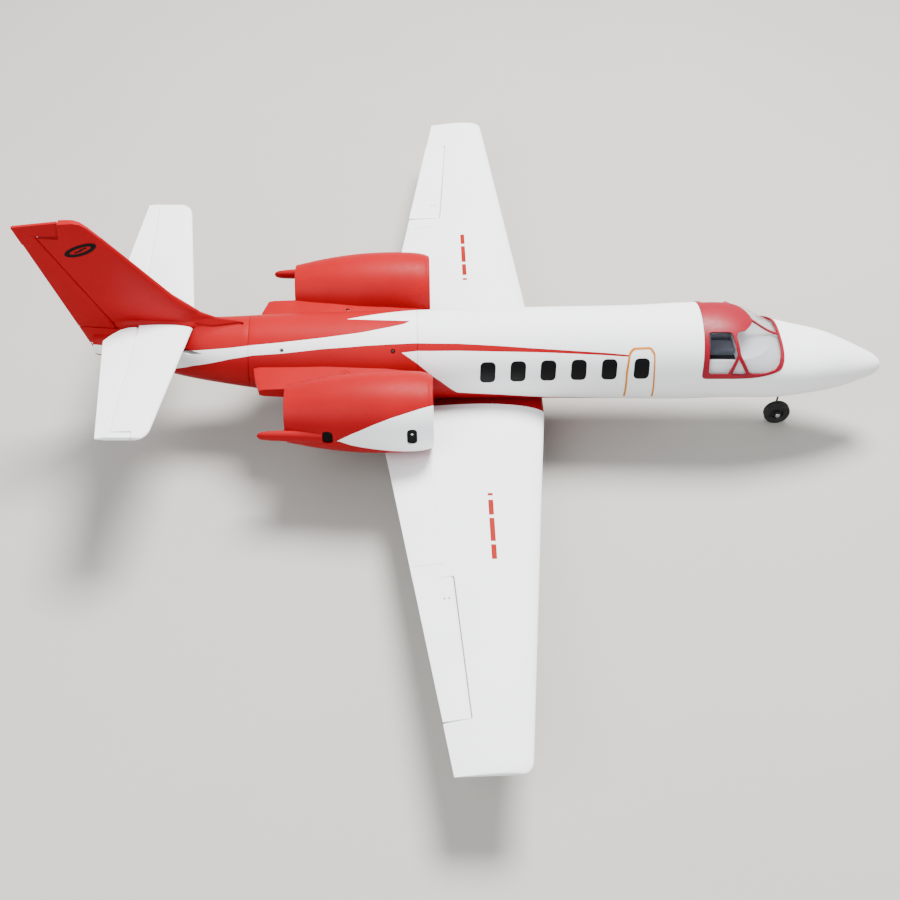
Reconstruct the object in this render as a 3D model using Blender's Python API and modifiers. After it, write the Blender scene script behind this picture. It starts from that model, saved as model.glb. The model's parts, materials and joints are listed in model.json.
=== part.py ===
"""Twin ducted-fan business-jet model aeroplane: foam mouldings, hardware and working controls.

Frame: +X towards the nose, +Y towards the left wing tip, +Z up.  The origin lies on the
ground, under the middle of the model's box.  All lengths are metres.
"""
import math

import bmesh
import bpy
from mathutils import Matrix, Vector

# ------------------------------------------------------------------ driving dimensions
HALF_SPAN = 0.590
NOSE_X = 0.5415
TAIL_CONE_X = -0.4735
GAP = 0.0003             # clearance between pieces that touch
HINGE_GAP = 0.0008       # clearance between a control surface and the cut it swings in
FOAM_WALL = 0.0070       # wall of the moulded fuselage shells
FUSELAGE_SIDES = 24
DUCT_SIDES = 24

# Fuselage stations: x, top z, bottom z, half width, roundness exponent (2 is an ellipse)
STATIONS = (
    (-0.4735, 0.1480, 0.1180, 0.0150, 2.0),
    (-0.4200, 0.1556, 0.1054, 0.0252, 2.0),
    (-0.3600, 0.1628, 0.0887, 0.0371, 2.0),
    (-0.3000, 0.1645, 0.0771, 0.0438, 2.0),
    (-0.2400, 0.1675, 0.0688, 0.0492, 2.0),
    (-0.1500, 0.1705, 0.0628, 0.0545, 2.0),
    (-0.0500, 0.1740, 0.0612, 0.0578, 2.0),
    (0.1000, 0.1806, 0.0633, 0.0586, 2.0),
    (0.2000, 0.1838, 0.0639, 0.0601, 2.0),
    (0.2800, 0.1880, 0.0662, 0.0611, 2.1),
    (0.3200, 0.1888, 0.0700, 0.0606, 2.2),
    (0.3500, 0.1820, 0.0730, 0.0604, 2.3),
    (0.3850, 0.1600, 0.0768, 0.0590, 2.4),
    (0.4200, 0.1515, 0.0785, 0.0530, 2.4),
    (0.4600, 0.1460, 0.0802, 0.0433, 2.3),
    (0.4900, 0.1366, 0.0834, 0.0330, 2.2),
    (0.5150, 0.1268, 0.0886, 0.0215, 2.1),
    (0.5300, 0.1200, 0.0922, 0.0143, 2.0),
    (0.5380, 0.1136, 0.0988, 0.0075, 2.0),
    (NOSE_X, 0.1078, 0.1048, 0.0015, 2.0),
)
NOSE_CAVITY_END = 0.4650
HATCH_REAR = 0.2890
HATCH_FRONT = 0.3975
HATCH_FLOOR = 0.1332
FRONT_SEAM_X = -0.0680   # joint between the front and rear fuselage mouldings
REAR_SEAM_X = -0.2780    # joint between the rear moulding and the tail section

# Wing: leading and trailing edges are straight in plan
WING_ROOT_Y = 0.0560
WING_LE = ((0.0560, 0.0970), (HALF_SPAN, 0.0405))         # (y, x)
WING_TE = ((0.0560, -0.1185), (HALF_SPAN, -0.0368))
WING_LE_Z = ((0.0560, 0.0665), (HALF_SPAN, 0.0960))       # (y, z)
WING_TE_Z = ((0.0560, 0.0674), (HALF_SPAN, 0.0913))
WING_THICKNESS = 0.115   # of the chord
WING_CAMBER = 0.020      # of the chord
TIP_ROUND = 0.014        # depth in span of the rounded front corner of the tip
AILERON_HINGE = ((0.3400, -0.0344), (0.5260, -0.0203))    # (y, x) of its two ends
TRAIL_HALF = 0.0006      # half thickness of a trailing edge
SADDLE_Z = 0.0757        # flat seat in the fuselage that the belly fairing bolts to
SADDLE_X = (-0.1265, 0.1185)
WING_SPAR = (0.0300, 0.0725)                              # (x, z)
WING_SPAR_R = 0.0030
WING_SPAR_HALF = 0.2100

# Tailplane
STAB_ROOT_Y = 0.0130
STAB_TIP_Y = 0.2225
STAB_LE = ((0.0130, -0.3468), (0.2225, -0.3720))          # (y, x)
STAB_TE = ((0.0280, -0.4530), (0.2225, -0.4290))
STAB_Z = ((0.0130, 0.1672), (0.2225, 0.1850))             # (y, z)
STAB_THICK = ((0.0130, 0.0130), (0.2225, 0.0085))         # (y, thickness)
STAB_HINGE_X = -0.4165
STAB_SPAR = (-0.3830, 0.1680)
STAB_SPAR_R = 0.0015
STAB_SPAR_HALF = 0.0550
ELEVATOR_ROOT_Y = 0.0165
ELEVATOR_OUTLINE = (     # (y, x of the cut-away root edge, or None on the trailing edge)
    (ELEVATOR_ROOT_Y, -0.4235),
    (0.0200, -0.4335),
    (0.0284, -0.4425),
    (0.0400, None),
    (STAB_TIP_Y, None),
)
HORN_BALANCE_Y = 0.2135
HORN_BALANCE_X = -0.3900

# Fin and rudder
FIN_LE = (               # (z, x), with the dorsal fillet at its foot
    (0.1120, -0.4450),
    (0.1500, -0.4050),
    (0.1600, -0.3300),
    (0.1680, -0.2850),
    (0.1760, -0.3180),
    (0.1840, -0.3360),
    (0.2110, -0.3680),
    (0.2630, -0.4127),
    (0.3185, -0.4610),
)
FIN_TE_BOTTOM = (-0.4740, 0.1165)                         # (x, z)
FIN_TE_TOP = (-0.5415, 0.3085)
FIN_HALF = ((0.1500, 0.0082), (0.3185, 0.0046))           # (z, half thickness)
RUDDER_BOTTOM = (-0.4458, 0.1605)
RUDDER_TOP = (-0.5185, 0.2965)
RUDDER_HORN_X = -0.4900
RUDDER_HORN_GAP = 0.0022  # the horn dips as the rudder turns about its sloping hinge
RUDDER_FOOT_GAP = 0.0014  # and so do the corners of its foot

# Servos and linkages
ARM_LENGTH = 0.0110      # pivot to hole, the same on servo arm and surface horn
LINK_HOLE_R = 0.0008
LINK_WIRE_R = 0.0005
LINK_ROD_Y = 0.0020      # the pushrod runs beside the arm and the horn
LINK_INSET = 0.0300      # aileron linkage, from the inboard end of the aileron
AILERON_SERVO_REACH = 0.0560
AILERON_SERVO_DROP = -0.0020
ELEVATOR_SERVO_REACH = 0.1565
ELEVATOR_SERVO_DROP = -0.0270
RUDDER_LINK_Y = 0.0244   # along the hinge from the rudder's foot
RUDDER_SERVO_REACH = 0.0620
RUDDER_SERVO_RISE = 0.0080

# Nacelles and fans (distances run back from the inlet lip)
NACELLE_LIP = (-0.0490, 0.1178, 0.1298)
NACELLE_LENGTH = 0.1780
NACELLE_PITCH = math.radians(2.0)
DUCT_R = 0.0345
HOUSING_SPAN = (0.0305, 0.0775)
FAN_BORE_R = 0.0325
FAN_HUB_R = 0.0158
FAN_STATION = 0.0410
BLADE_COUNT = 8
VANE_COUNT = 5
MOTOR_R = 0.0138
EXHAUST_R = (0.0342, 0.0300)
EXHAUST_WALL = 0.0008

PYLON_Z = 0.1275
PYLON_SECTIONS = (       # (y, front x, rear x, half thickness)
    (0.0300, -0.0530, -0.2740, 0.0115),
    (0.0620, -0.0510, -0.2690, 0.0110),
    (0.0855, -0.0515, -0.2620, 0.0105),
)
PYLON_SHAPE = ((0.0, 0.10), (0.02, 0.42), (0.08, 0.78), (0.25, 1.0), (0.60, 0.96), (0.97, 0.52), (1.0, 0.36))
FAIRING_SECTIONS = (     # outboard tail fairing: (x, offset from the duct axis, half y, half z)
    (-0.0900, 0.0420, 0.0045, 0.0040),
    (-0.1250, 0.0415, 0.0055, 0.0070),
    (-0.1600, 0.0385, 0.0060, 0.0078),
    (-0.1850, 0.0375, 0.0052, 0.0072),
    (-0.2020, 0.0372, 0.0040, 0.0060),
    (-0.2085, 0.0372, 0.0025, 0.0040),
    (-0.2105, 0.0372, 0.0010, 0.0015),
)

# Landing gear
WIRE_R = 0.0016
TYRE_SIDES = 20
TREAD_SHARE = 0.36       # half width of the flat tread, as a share of the tyre's half width
NOSE_WHEEL = (0.4240, 0.0, 0.0176)
NOSE_MOUNT_TOP = 0.0985
NOSE_MOUNT_FOOT = 0.0805
NOSE_MOUNT_HALF = (0.0150, 0.0130)
MAIN_WHEEL = (-0.0500, 0.1150, 0.0240)
MAIN_STRUT_Y = 0.0990
MAIN_LEG_TOP = 0.0740

# Canopy hatch
CANOPY_WALL = 0.0030
GLAZING_WALL = 0.0010
CENTRE_BAR_HALF = 0.0018
STEERING_SERVO_Z = 0.1075

WELD = 0.00001           # vertices closer than this are one
LAY_ALONG = {            # turns a shape drawn about Z so that it lies along another axis
    "X": Matrix(((0, 0, 1, 0), (1, 0, 0, 0), (0, 1, 0, 0), (0, 0, 0, 1))),
    "Y": Matrix(((1, 0, 0, 0), (0, 0, 1, 0), (0, 1, 0, 0), (0, 0, 0, 1))),
}
STAND_IN_PLANE = {       # takes an outline drawn in XY to the plane it belongs to
    "XZ": Matrix(((1, 0, 0, 0), (0, 0, 1, 0), (0, 1, 0, 0), (0, 0, 0, 1))),
    "XY": Matrix.Identity(4),
}
SIDES = ((1, "left"), (-1, "right"))
PART_COLLECTION = "rc_business_jet"
CUTTER_COLLECTION = "cutters"


# ------------------------------------------------------------------ scene and materials
def clear_scene():
    for item in list(bpy.data.objects):
        bpy.data.objects.remove(item, do_unlink=True)
    for group in list(bpy.data.collections):
        bpy.data.collections.remove(group)


def make_collection(name):
    group = bpy.data.collections.new(name)
    bpy.context.scene.collection.children.link(group)
    return group


def make_material(name, color, roughness, metallic=0.0):
    mat = bpy.data.materials.new(name)
    mat.use_nodes = True
    shader = mat.node_tree.nodes["Principled BSDF"]
    shader.inputs["Base Color"].default_value = (*color, 1.0)
    shader.inputs["Roughness"].default_value = roughness
    shader.inputs["Metallic"].default_value = metallic
    return mat


clear_scene()
PARTS = make_collection(PART_COLLECTION)
CUTTERS = make_collection(CUTTER_COLLECTION)

FINISHES = {
    "white_foam": ((0.85, 0.86, 0.87), 0.55, 0.0),
    "red_foam": ((0.75, 0.005, 0.015), 0.40, 0.0),
    "red_plastic": ((0.72, 0.01, 0.02), 0.30, 0.0),
    "clear_plastic": ((0.90, 0.93, 0.95), 0.05, 0.0),
    "black_plastic": ((0.02, 0.02, 0.022), 0.45, 0.0),
    "black_tyre": ((0.015, 0.015, 0.015), 0.80, 0.0),
    "white_plastic": ((0.80, 0.80, 0.80), 0.35, 0.0),
    "steel_wire": ((0.55, 0.55, 0.56), 0.30, 1.0),
    "motor_metal": ((0.50, 0.50, 0.52), 0.35, 1.0),
    "carbon_tube": ((0.03, 0.03, 0.03), 0.35, 0.0),
    "battery_wrap": ((0.05, 0.10, 0.35), 0.40, 0.0),
    "circuit_case": ((0.10, 0.10, 0.11), 0.50, 0.0),
    "dark_seat": ((0.05, 0.05, 0.06), 0.70, 0.0),
}
MATERIALS = {key: make_material(key, *look) for key, look in FINISHES.items()}


# ------------------------------------------------------------------ mesh helpers
def object_from_bmesh(name, bm, matrix=None):
    """Wrap a closed bmesh in an object whose faces point outwards."""
    bmesh.ops.recalc_face_normals(bm, faces=bm.faces)
    mesh = bpy.data.meshes.new(name)
    bm.to_mesh(mesh)
    bm.free()
    item = bpy.data.objects.new(name, mesh)
    CUTTERS.objects.link(item)
    item.hide_render = True
    item.display_type = "WIRE"
    if matrix is not None:
        item.matrix_world = matrix
    return item


def publish(item, name, finish, smooth=True):
    """Move a finished object from the working collection to the parts."""
    CUTTERS.objects.unlink(item)
    PARTS.objects.link(item)
    item.hide_render = False
    item.display_type = "TEXTURED"
    item.name = name
    item.data.name = name
    item.data.materials.clear()
    item.data.materials.append(MATERIALS[finish])
    if smooth:
        item.data.shade_smooth()
        item.data.set_sharp_from_angle(angle=math.radians(35))
    return item


def evaluated_mesh(item):
    bpy.context.view_layer.update()
    graph = bpy.context.evaluated_depsgraph_get()
    return bpy.data.meshes.new_from_object(item.evaluated_get(graph))


def bake(item):
    """Replace an object's mesh by its evaluated mesh and drop the modifiers."""
    mesh = evaluated_mesh(item)
    item.modifiers.clear()
    item.data = mesh
    return item


def meshed(item):
    """Replace a curve object by a mesh object of the same shape."""
    solid = bpy.data.objects.new(item.name, evaluated_mesh(item))
    CUTTERS.objects.link(solid)
    bpy.data.objects.remove(item, do_unlink=True)
    return solid


def boolean(item, tool, operation, keep_tool=False):
    modifier = item.modifiers.new(operation.lower(), "BOOLEAN")
    modifier.operation = operation
    modifier.object = tool
    bake(item)
    if not keep_tool:
        bpy.data.objects.remove(tool, do_unlink=True)
    return item


def cut(item, *tools):
    for tool in tools:
        boolean(item, tool, "DIFFERENCE")
    return item


def join(item, *tools):
    for tool in tools:
        boolean(item, tool, "UNION")
    return item


def loft(name, rings, matrix=None):
    """Skin a list of equal-length rings and close both ends."""
    bm = bmesh.new()
    rows = [[bm.verts.new(point) for point in ring] for ring in rings]
    count = len(rows[0])
    for first, second in zip(rows, rows[1:]):
        for i in range(count):
            j = (i + 1) % count
            bm.faces.new((first[i], first[j], second[j], second[i]))
    bm.faces.new(rows[0])
    bm.faces.new(rows[-1])
    return object_from_bmesh(name, bm, matrix)


def shell_loft(name, outer, inner, inner_closed, matrix=None):
    """Skin an outer and an inner ring list that share their first end.

    With inner_closed the cavity ends inside the solid; otherwise it runs right through.
    """
    bm = bmesh.new()
    out_rows = [[bm.verts.new(point) for point in ring] for ring in outer]
    in_rows = [[bm.verts.new(point) for point in ring] for ring in inner]
    count = len(out_rows[0])

    def strip(first, second):
        for i in range(count):
            j = (i + 1) % count
            bm.faces.new((first[i], first[j], second[j], second[i]))

    for rows in (out_rows, in_rows):
        for first, second in zip(rows, rows[1:]):
            strip(first, second)
    strip(out_rows[0], in_rows[0])
    if inner_closed:
        bm.faces.new(out_rows[-1])
        bm.faces.new(in_rows[-1])
    else:
        strip(out_rows[-1], in_rows[-1])
    return object_from_bmesh(name, bm, matrix)


def box(name, low, high, matrix=None, bevel=0.0):
    """Axis-aligned box between two corners, with optional rounded edges."""
    bm = bmesh.new()
    bmesh.ops.create_cube(bm, size=1.0)
    low = Vector(low)
    high = Vector(high)
    for vert in bm.verts:
        vert.co = Vector((low[i] + (vert.co[i] + 0.5) * (high[i] - low[i]) for i in range(3)))
    if bevel > 0.0:
        bmesh.ops.bevel(bm, geom=bm.edges[:], offset=bevel, segments=1, affect="EDGES")
    return object_from_bmesh(name, bm, matrix)


def cylinder(name, radius, start, end, sides=24, end_radius=None, matrix=None):
    """Round bar or cone between two points."""
    start = Vector(start)
    end = Vector(end)
    axis = end - start
    bm = bmesh.new()
    bmesh.ops.create_cone(
        bm,
        cap_ends=True,
        segments=sides,
        radius1=radius,
        radius2=radius if end_radius is None else end_radius,
        depth=axis.length,
    )
    turn = Vector((0, 0, 1)).rotation_difference(axis).to_matrix().to_4x4()
    bmesh.ops.transform(bm, matrix=Matrix.Translation((start + end) / 2) @ turn, verts=bm.verts)
    return object_from_bmesh(name, bm, matrix)


def turned(name, profile, sides=32, matrix=None, axis="X"):
    """Solid of revolution from a closed profile of (along, radius) points, made by a screw.

    The profile stands at +X and is screwed about Z, then laid along the wanted axis.
    """
    mesh = bpy.data.meshes.new(name)
    points = [(radius, 0.0, along) for along, radius in profile]
    edges = [(i, (i + 1) % len(points)) for i in range(len(points))]
    mesh.from_pydata(points, edges, [])
    item = bpy.data.objects.new(name, mesh)
    CUTTERS.objects.link(item)
    screw = item.modifiers.new("screw", "SCREW")
    screw.axis = "Z"
    screw.angle = 2 * math.pi
    screw.steps = sides
    screw.render_steps = sides
    screw.use_merge_vertices = True
    screw.merge_threshold = WELD
    bake(item)
    return finish_solid(item, name, matrix, LAY_ALONG[axis])


def finish_solid(item, name, matrix, lay):
    """Weld an evaluated mesh, turn it as asked and wrap it as a closed object."""
    bm = bmesh.new()
    bm.from_mesh(item.data)
    bpy.data.objects.remove(item, do_unlink=True)
    bmesh.ops.remove_doubles(bm, verts=bm.verts, dist=WELD)
    bmesh.ops.transform(bm, matrix=lay, verts=bm.verts)
    return object_from_bmesh(name, bm, matrix)


def prism(name, outline, low, high, plane="XZ", matrix=None):
    """Flat outline, filled and extruded between two depths along the normal of its plane."""
    curve = bpy.data.curves.new(name, "CURVE")
    curve.dimensions = "2D"
    curve.fill_mode = "BOTH"
    curve.extrude = (high - low) / 2
    spline = curve.splines.new("POLY")
    spline.points.add(len(outline) - 1)
    for target, point in zip(spline.points, outline):
        target.co = (*point, 0.0, 1.0)
    spline.use_cyclic_u = True
    item = bpy.data.objects.new(name, curve)
    CUTTERS.objects.link(item)
    item = meshed(item)
    lay = STAND_IN_PLANE[plane] @ Matrix.Translation((0, 0, (low + high) / 2))
    return finish_solid(item, name, matrix, lay)


def wire(name, points, radius, resolution=2):
    """Bent wire through a list of points, as a closed mesh."""
    curve = bpy.data.curves.new(name, "CURVE")
    curve.dimensions = "3D"
    curve.bevel_depth = radius
    curve.bevel_resolution = resolution
    curve.use_fill_caps = True
    spline = curve.splines.new("POLY")
    spline.points.add(len(points) - 1)
    for target, point in zip(spline.points, points):
        target.co = (*point, 1.0)
    item = bpy.data.objects.new(name, curve)
    CUTTERS.objects.link(item)
    item = meshed(item)
    return finish_solid(item, name, None, Matrix.Identity(4))


def line_at(line, value):
    """Read a straight line given by two (key, value) points."""
    (k0, v0), (k1, v1) = line
    return v0 + (v1 - v0) * (value - k0) / (k1 - k0)


def rounded_outline(points, radius, steps=4):
    """Round every corner of a closed polygon with a short arc."""
    result = []
    count = len(points)
    for i, point in enumerate(points):
        here = Vector(point)
        back = Vector(points[i - 1]) - here
        ahead = Vector(points[(i + 1) % count]) - here
        reach = min(radius, back.length * 0.45, ahead.length * 0.45)
        start = here + back.normalized() * reach
        end = here + ahead.normalized() * reach
        for step in range(steps + 1):
            t = step / steps
            blend = start * (1 - t) ** 2 + here * 2 * t * (1 - t) + end * t ** 2
            result.append((blend.x, blend.y))
    return result


# ------------------------------------------------------------------ fuselage
def fuselage_values(x):
    """Smoothly interpolated station values at x (piecewise cubic through STATIONS)."""
    table = STATIONS
    x = min(max(x, table[0][0]), table[-1][0])
    index = 0
    while index < len(table) - 2 and x > table[index + 1][0]:
        index += 1
    left = table[index]
    right = table[index + 1]
    before = table[max(index - 1, 0)]
    after = table[min(index + 2, len(table) - 1)]
    span = right[0] - left[0]
    t = (x - left[0]) / span
    values = []
    for k in range(1, 5):
        slope_left = (right[k] - before[k]) / (right[0] - before[0])
        slope_right = (after[k] - left[k]) / (after[0] - left[0])
        h00 = 2 * t ** 3 - 3 * t ** 2 + 1
        h10 = t ** 3 - 2 * t ** 2 + t
        h01 = -2 * t ** 3 + 3 * t ** 2
        h11 = t ** 3 - t ** 2
        values.append(h00 * left[k] + h10 * span * slope_left + h01 * right[k] + h11 * span * slope_right)
    return values


def fuselage_ring(x, offset=0.0, sides=FUSELAGE_SIDES):
    """Cross-section of the fuselage at x, moved outwards by offset."""
    top, bottom, half_width, power = fuselage_values(x)
    centre = (top + bottom) / 2
    half_height = (top - bottom) / 2
    ring = []
    for step in range(sides):
        angle = 2 * math.pi * (step + 0.5) / sides
        c = math.cos(angle)
        s = math.sin(angle)
        y = (half_width + offset) * math.copysign(abs(c) ** (2 / power), c)
        z = (half_height + offset) * math.copysign(abs(s) ** (2 / power), s)
        ring.append((x, y, centre + z))
    return ring


def spaced(start, end, pitch):
    count = max(1, round(abs(end - start) / pitch))
    return [start + (end - start) * i / count for i in range(count + 1)]


def fuselage_envelope(offset, start=TAIL_CONE_X, end=NOSE_X - 0.001):
    stations = spaced(start, end, 0.030)
    return loft("envelope", [fuselage_ring(x, offset) for x in stations])


def hatch_prism(shrink):
    """Side outline of the canopy hatch, extruded across the fuselage."""
    rear = HATCH_REAR + shrink
    front = HATCH_FRONT - shrink
    floor = HATCH_FLOOR + shrink
    outline = [
        (rear, 0.2200),
        (rear, floor),
        (0.3520, floor),
        (0.3720, floor + 0.0008),
        (0.3850, floor + 0.0050),
        (front - 0.0020, floor + 0.0130),
        (front, floor + 0.0220),
        (front, 0.2200),
    ]
    return prism("hatch", outline, -0.080, 0.080)


def saddle_box():
    return box("saddle", (SADDLE_X[0], -0.085, 0.030), (SADDLE_X[1], 0.085, SADDLE_Z))


def build_fuselage_front():
    nose_stations = spaced(FRONT_SEAM_X + GAP / 2, 0.280, 0.060)
    nose_stations += spaced(0.300, 0.460, 0.0200)
    nose_stations += [0.480, 0.500, 0.517, 0.530, 0.538, NOSE_X]
    outer = [fuselage_ring(x) for x in nose_stations]
    cavity = [x for x in nose_stations if x < NOSE_CAVITY_END]
    inner = [fuselage_ring(x, -FOAM_WALL) for x in cavity]
    body = shell_loft("fuselage_front", outer, inner, inner_closed=True)
    cut(body, hatch_prism(0.0), saddle_box())
    half_x = NOSE_MOUNT_HALF[0] + GAP
    half_y = NOSE_MOUNT_HALF[1] + GAP
    low = (NOSE_WHEEL[0] - half_x, -half_y, 0.040)
    high = (NOSE_WHEEL[0] + half_x, half_y, NOSE_MOUNT_TOP)
    cut(body, box("nose_bay", low, high))
    return publish(body, "fuselage_front", "white_foam")


def build_fuselage_rear():
    stations = spaced(REAR_SEAM_X + GAP / 2, FRONT_SEAM_X - GAP / 2, 0.070)
    outer = [fuselage_ring(x) for x in stations]
    inner = [fuselage_ring(x, -FOAM_WALL) for x in stations]
    body = shell_loft("fuselage_rear", outer, inner, inner_closed=False)
    cut(body, saddle_box())
    return publish(body, "fuselage_rear", "red_foam")


def build_belly_fairing():
    """Wing centre section: flat-topped block shaped like the wing root, with a keel below."""
    ends = (-WING_ROOT_Y + GAP, WING_ROOT_Y - GAP)
    body = loft("belly_fairing", [wing_ring(WING_ROOT_Y, place_y=y) for y in ends])
    plug_stations = spaced(SADDLE_X[0] + GAP, SADDLE_X[1] - GAP, 0.060)
    plug = loft("plug", [fuselage_ring(x) for x in plug_stations])
    join(body, plug)
    keel = [
        ellipse_ring(x, 0.0760, 0.0360 * width, 0.0270 * depth)
        for x, width, depth in (
            (-0.1150, 0.45, 0.30),
            (-0.0900, 0.78, 0.66),
            (-0.0500, 0.96, 0.88),
            (0.0000, 1.00, 0.98),
            (0.0500, 0.97, 0.92),
            (0.0850, 0.80, 0.74),
            (0.1080, 0.48, 0.40),
        )
    ]
    join(body, loft("keel", keel))
    cut(body, box("trim", (-0.200, -0.085, SADDLE_Z - GAP), (0.200, 0.085, 0.250)))
    cut(body, spar_cutter())
    return publish(body, "belly_fairing", "red_foam")


def ellipse_ring(x, centre_z, half_width, half_height, sides=24):
    ring = []
    for step in range(sides):
        angle = 2 * math.pi * (step + 0.5) / sides
        ring.append((x, half_width * math.cos(angle), centre_z + half_height * math.sin(angle)))
    return ring


# ------------------------------------------------------------------ wing
def thickness_shape(along):
    """Half thickness of a symmetric section, as a share of its largest half thickness."""
    along = min(max(along, 0.0), 1.0)
    root = math.sqrt(along)
    return 10 * (
        0.2969 * root - 0.1260 * along - 0.3516 * along ** 2 + 0.2843 * along ** 3 - 0.0950 * along ** 4
    )


def camber_shape(along):
    """Height of the camber line in chords, with its crest at 40 % of the chord."""
    if along < 0.4:
        return WING_CAMBER * (0.8 * along - along * along) / 0.16
    return WING_CAMBER * (0.2 + 0.8 * along - along * along) / 0.36


def chord_stations(points):
    """Chord fractions bunched towards the leading edge."""
    return [1 - math.cos(0.5 * math.pi * i / points) for i in range(points + 1)]


def wing_ring(y, place_y=None, squeeze=1.0, nose=0.0, points=9):
    """Airfoil ring at span position y; nose moves the leading edge back at the rounded tip."""
    lead = line_at(WING_LE, y)
    chord = lead - line_at(WING_TE, y)
    upper = []
    lower = []
    for share in chord_stations(points):
        along = nose + share * (1 - nose)
        base = line_at(WING_LE_Z, y) * (1 - along) + line_at(WING_TE_Z, y) * along
        half = 0.5 * WING_THICKNESS * thickness_shape(share) * squeeze
        camber = camber_shape(along)
        span_y = y if place_y is None else place_y
        upper.append((lead - along * chord, span_y, base + (camber + half) * chord))
        lower.append((lead - along * chord, span_y, base + (camber - half) * chord))
    return list(reversed(upper)) + lower[1:]


def wing_mid(y, x):
    """Height of the middle of the wing at a plan position, and its half thickness there."""
    lead = line_at(WING_LE, y)
    chord = lead - line_at(WING_TE, y)
    along = (lead - x) / chord
    base = line_at(WING_LE_Z, y) * (1 - along) + line_at(WING_TE_Z, y) * along
    return base + camber_shape(along) * chord, 0.5 * WING_THICKNESS * thickness_shape(along) * chord


def mirrored(points, side):
    return [(x, y * side, z) for x, y, z in points]


def spar_cutter():
    return cylinder("spar_hole", WING_SPAR_R + GAP, *spar_ends(WING_SPAR, WING_SPAR_HALF + GAP), 16)


def spar_ends(place, half):
    x, z = place
    return (x, -half, z), (x, half, z)


def build_wing(side, label):
    tip = HALF_SPAN
    rings = [wing_ring(y) for y in (WING_ROOT_Y, 0.200, 0.340, 0.526, tip - TIP_ROUND)]
    for share, nose, squeeze in ((0.45, 0.020, 0.98), (0.80, 0.065, 0.86), (1.0, 0.125, 0.60)):
        rings.append(wing_ring(tip - TIP_ROUND * (1 - share), squeeze=squeeze, nose=nose))
    body = loft("wing", [mirrored(ring, side) for ring in rings])
    hinge = aileron_hinge(side)
    cut(body, surface_cutter(hinge, 0.100))
    cut(body, spar_cutter())
    cut(body, servo_pocket(aileron_servo_frame(side), -side))
    low = (MAIN_WHEEL[0], side * MAIN_STRUT_Y, 0.040)
    high = (MAIN_WHEEL[0], side * MAIN_STRUT_Y, MAIN_LEG_TOP + GAP)
    cut(body, cylinder("leg_hole", WIRE_R + GAP, low, high, 12))
    return publish(body, f"wing_{label}", "white_foam")


# ------------------------------------------------------------------ hinged surfaces
class Hinge:
    """A hinge line with a local frame: +X forward, +Y along the hinge, +Z out of the surface."""

    def __init__(self, start, end, radius_start, radius_end):
        start = Vector(start)
        end = Vector(end)
        self.length = (end - start).length
        self.radius = (radius_start, radius_end)
        self.matrix = frame_along(start, end - start)

    def radius_at(self, y):
        first, last = self.radius
        return first + (last - first) * y / self.length


def frame_along(origin, direction):
    """Right-handed frame at origin: Y along direction, X as close to the nose as it can be."""
    along = direction.normalized()
    forward = (Vector((1, 0, 0)) - along * along.x).normalized()
    normal = forward.cross(along)
    matrix = Matrix((forward, along, normal)).transposed().to_4x4()
    matrix.translation = origin
    return matrix


def aileron_hinge(side):
    """Hinge of an aileron, always drawn from right to left so that +Y is its axis."""
    ends = []
    for y, x in AILERON_HINGE:
        z, half = wing_mid(y, x)
        ends.append(((x, side * y, z), half))
    if side < 0:
        ends.reverse()
    return Hinge(ends[0][0], ends[1][0], ends[0][1], ends[1][1])


def surface_cutter(hinge, depth):
    """Wedge that clears a control surface out of the fixed part in front of it."""
    reach = [radius + HINGE_GAP for radius in hinge.radius]
    outline = [
        (-depth, -HINGE_GAP),
        (reach[0], -HINGE_GAP),
        (reach[1], hinge.length + HINGE_GAP),
        (-depth, hinge.length + HINGE_GAP),
    ]
    return prism("surface_cut", outline, -0.040, 0.040, "XY", hinge.matrix)


def surface_ring(y, trail_x, nose_radius, trail_half=TRAIL_HALF, steps=6):
    """Wedge section with a half-round front on the hinge, in a hinge frame."""
    ring = [(trail_x, y, trail_half)]
    for step in range(steps + 1):
        angle = math.pi / 2 - math.pi * step / steps
        ring.append((nose_radius * math.cos(angle), y, nose_radius * math.sin(angle)))
    ring.append((trail_x, y, -trail_half))
    return ring


def settle(item, origin):
    """Give an object drawn with a matrix an upright frame with its origin at a point."""
    item.data.transform(Matrix.Translation(-origin) @ item.matrix_world)
    item.matrix_world = Matrix.Translation(origin)
    return item


def build_aileron(side, label):
    hinge = aileron_hinge(side)
    to_local = hinge.matrix.inverted()
    rings = []
    for key in (0, 1):
        y = AILERON_HINGE[key if side > 0 else 1 - key][0]
        trail = to_local @ Vector((line_at(WING_TE, y), side * y, line_at(WING_TE_Z, y)))
        rings.append(surface_ring(hinge.length * key, trail.x, hinge.radius[key]))
    body = loft("aileron", rings, hinge.matrix)
    settle(body, hinge.matrix.translation)
    return publish(body, f"aileron_{label}", "white_foam")


# ------------------------------------------------------------------ servos and linkages
def shifted(matrix, x, y, z):
    """Copy of a frame moved by a local offset."""
    return matrix @ Matrix.Translation((x, y, z))


def aileron_servo_frame(side):
    hinge = aileron_hinge(side)
    return shifted(link_frame(hinge, side), AILERON_SERVO_REACH, 0.0, AILERON_SERVO_DROP)


def link_frame(hinge, side):
    """Frame on the hinge at the plane of its linkage, a set distance from the inboard end."""
    y = LINK_INSET if side > 0 else hinge.length - LINK_INSET
    return shifted(hinge.matrix, 0.0, y, 0.0)


def span(a, b, turn):
    """Y range of a linkage part, mirrored with the side that it faces."""
    return (a, b) if turn > 0 else (-b, -a)


def servo_pocket(frame, turn):
    y0, y1 = span(-0.0210, 0.0045, turn)
    return box("pocket", (-0.0168, y0, -0.0300), (0.0213, y1, 0.0063), frame)


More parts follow.
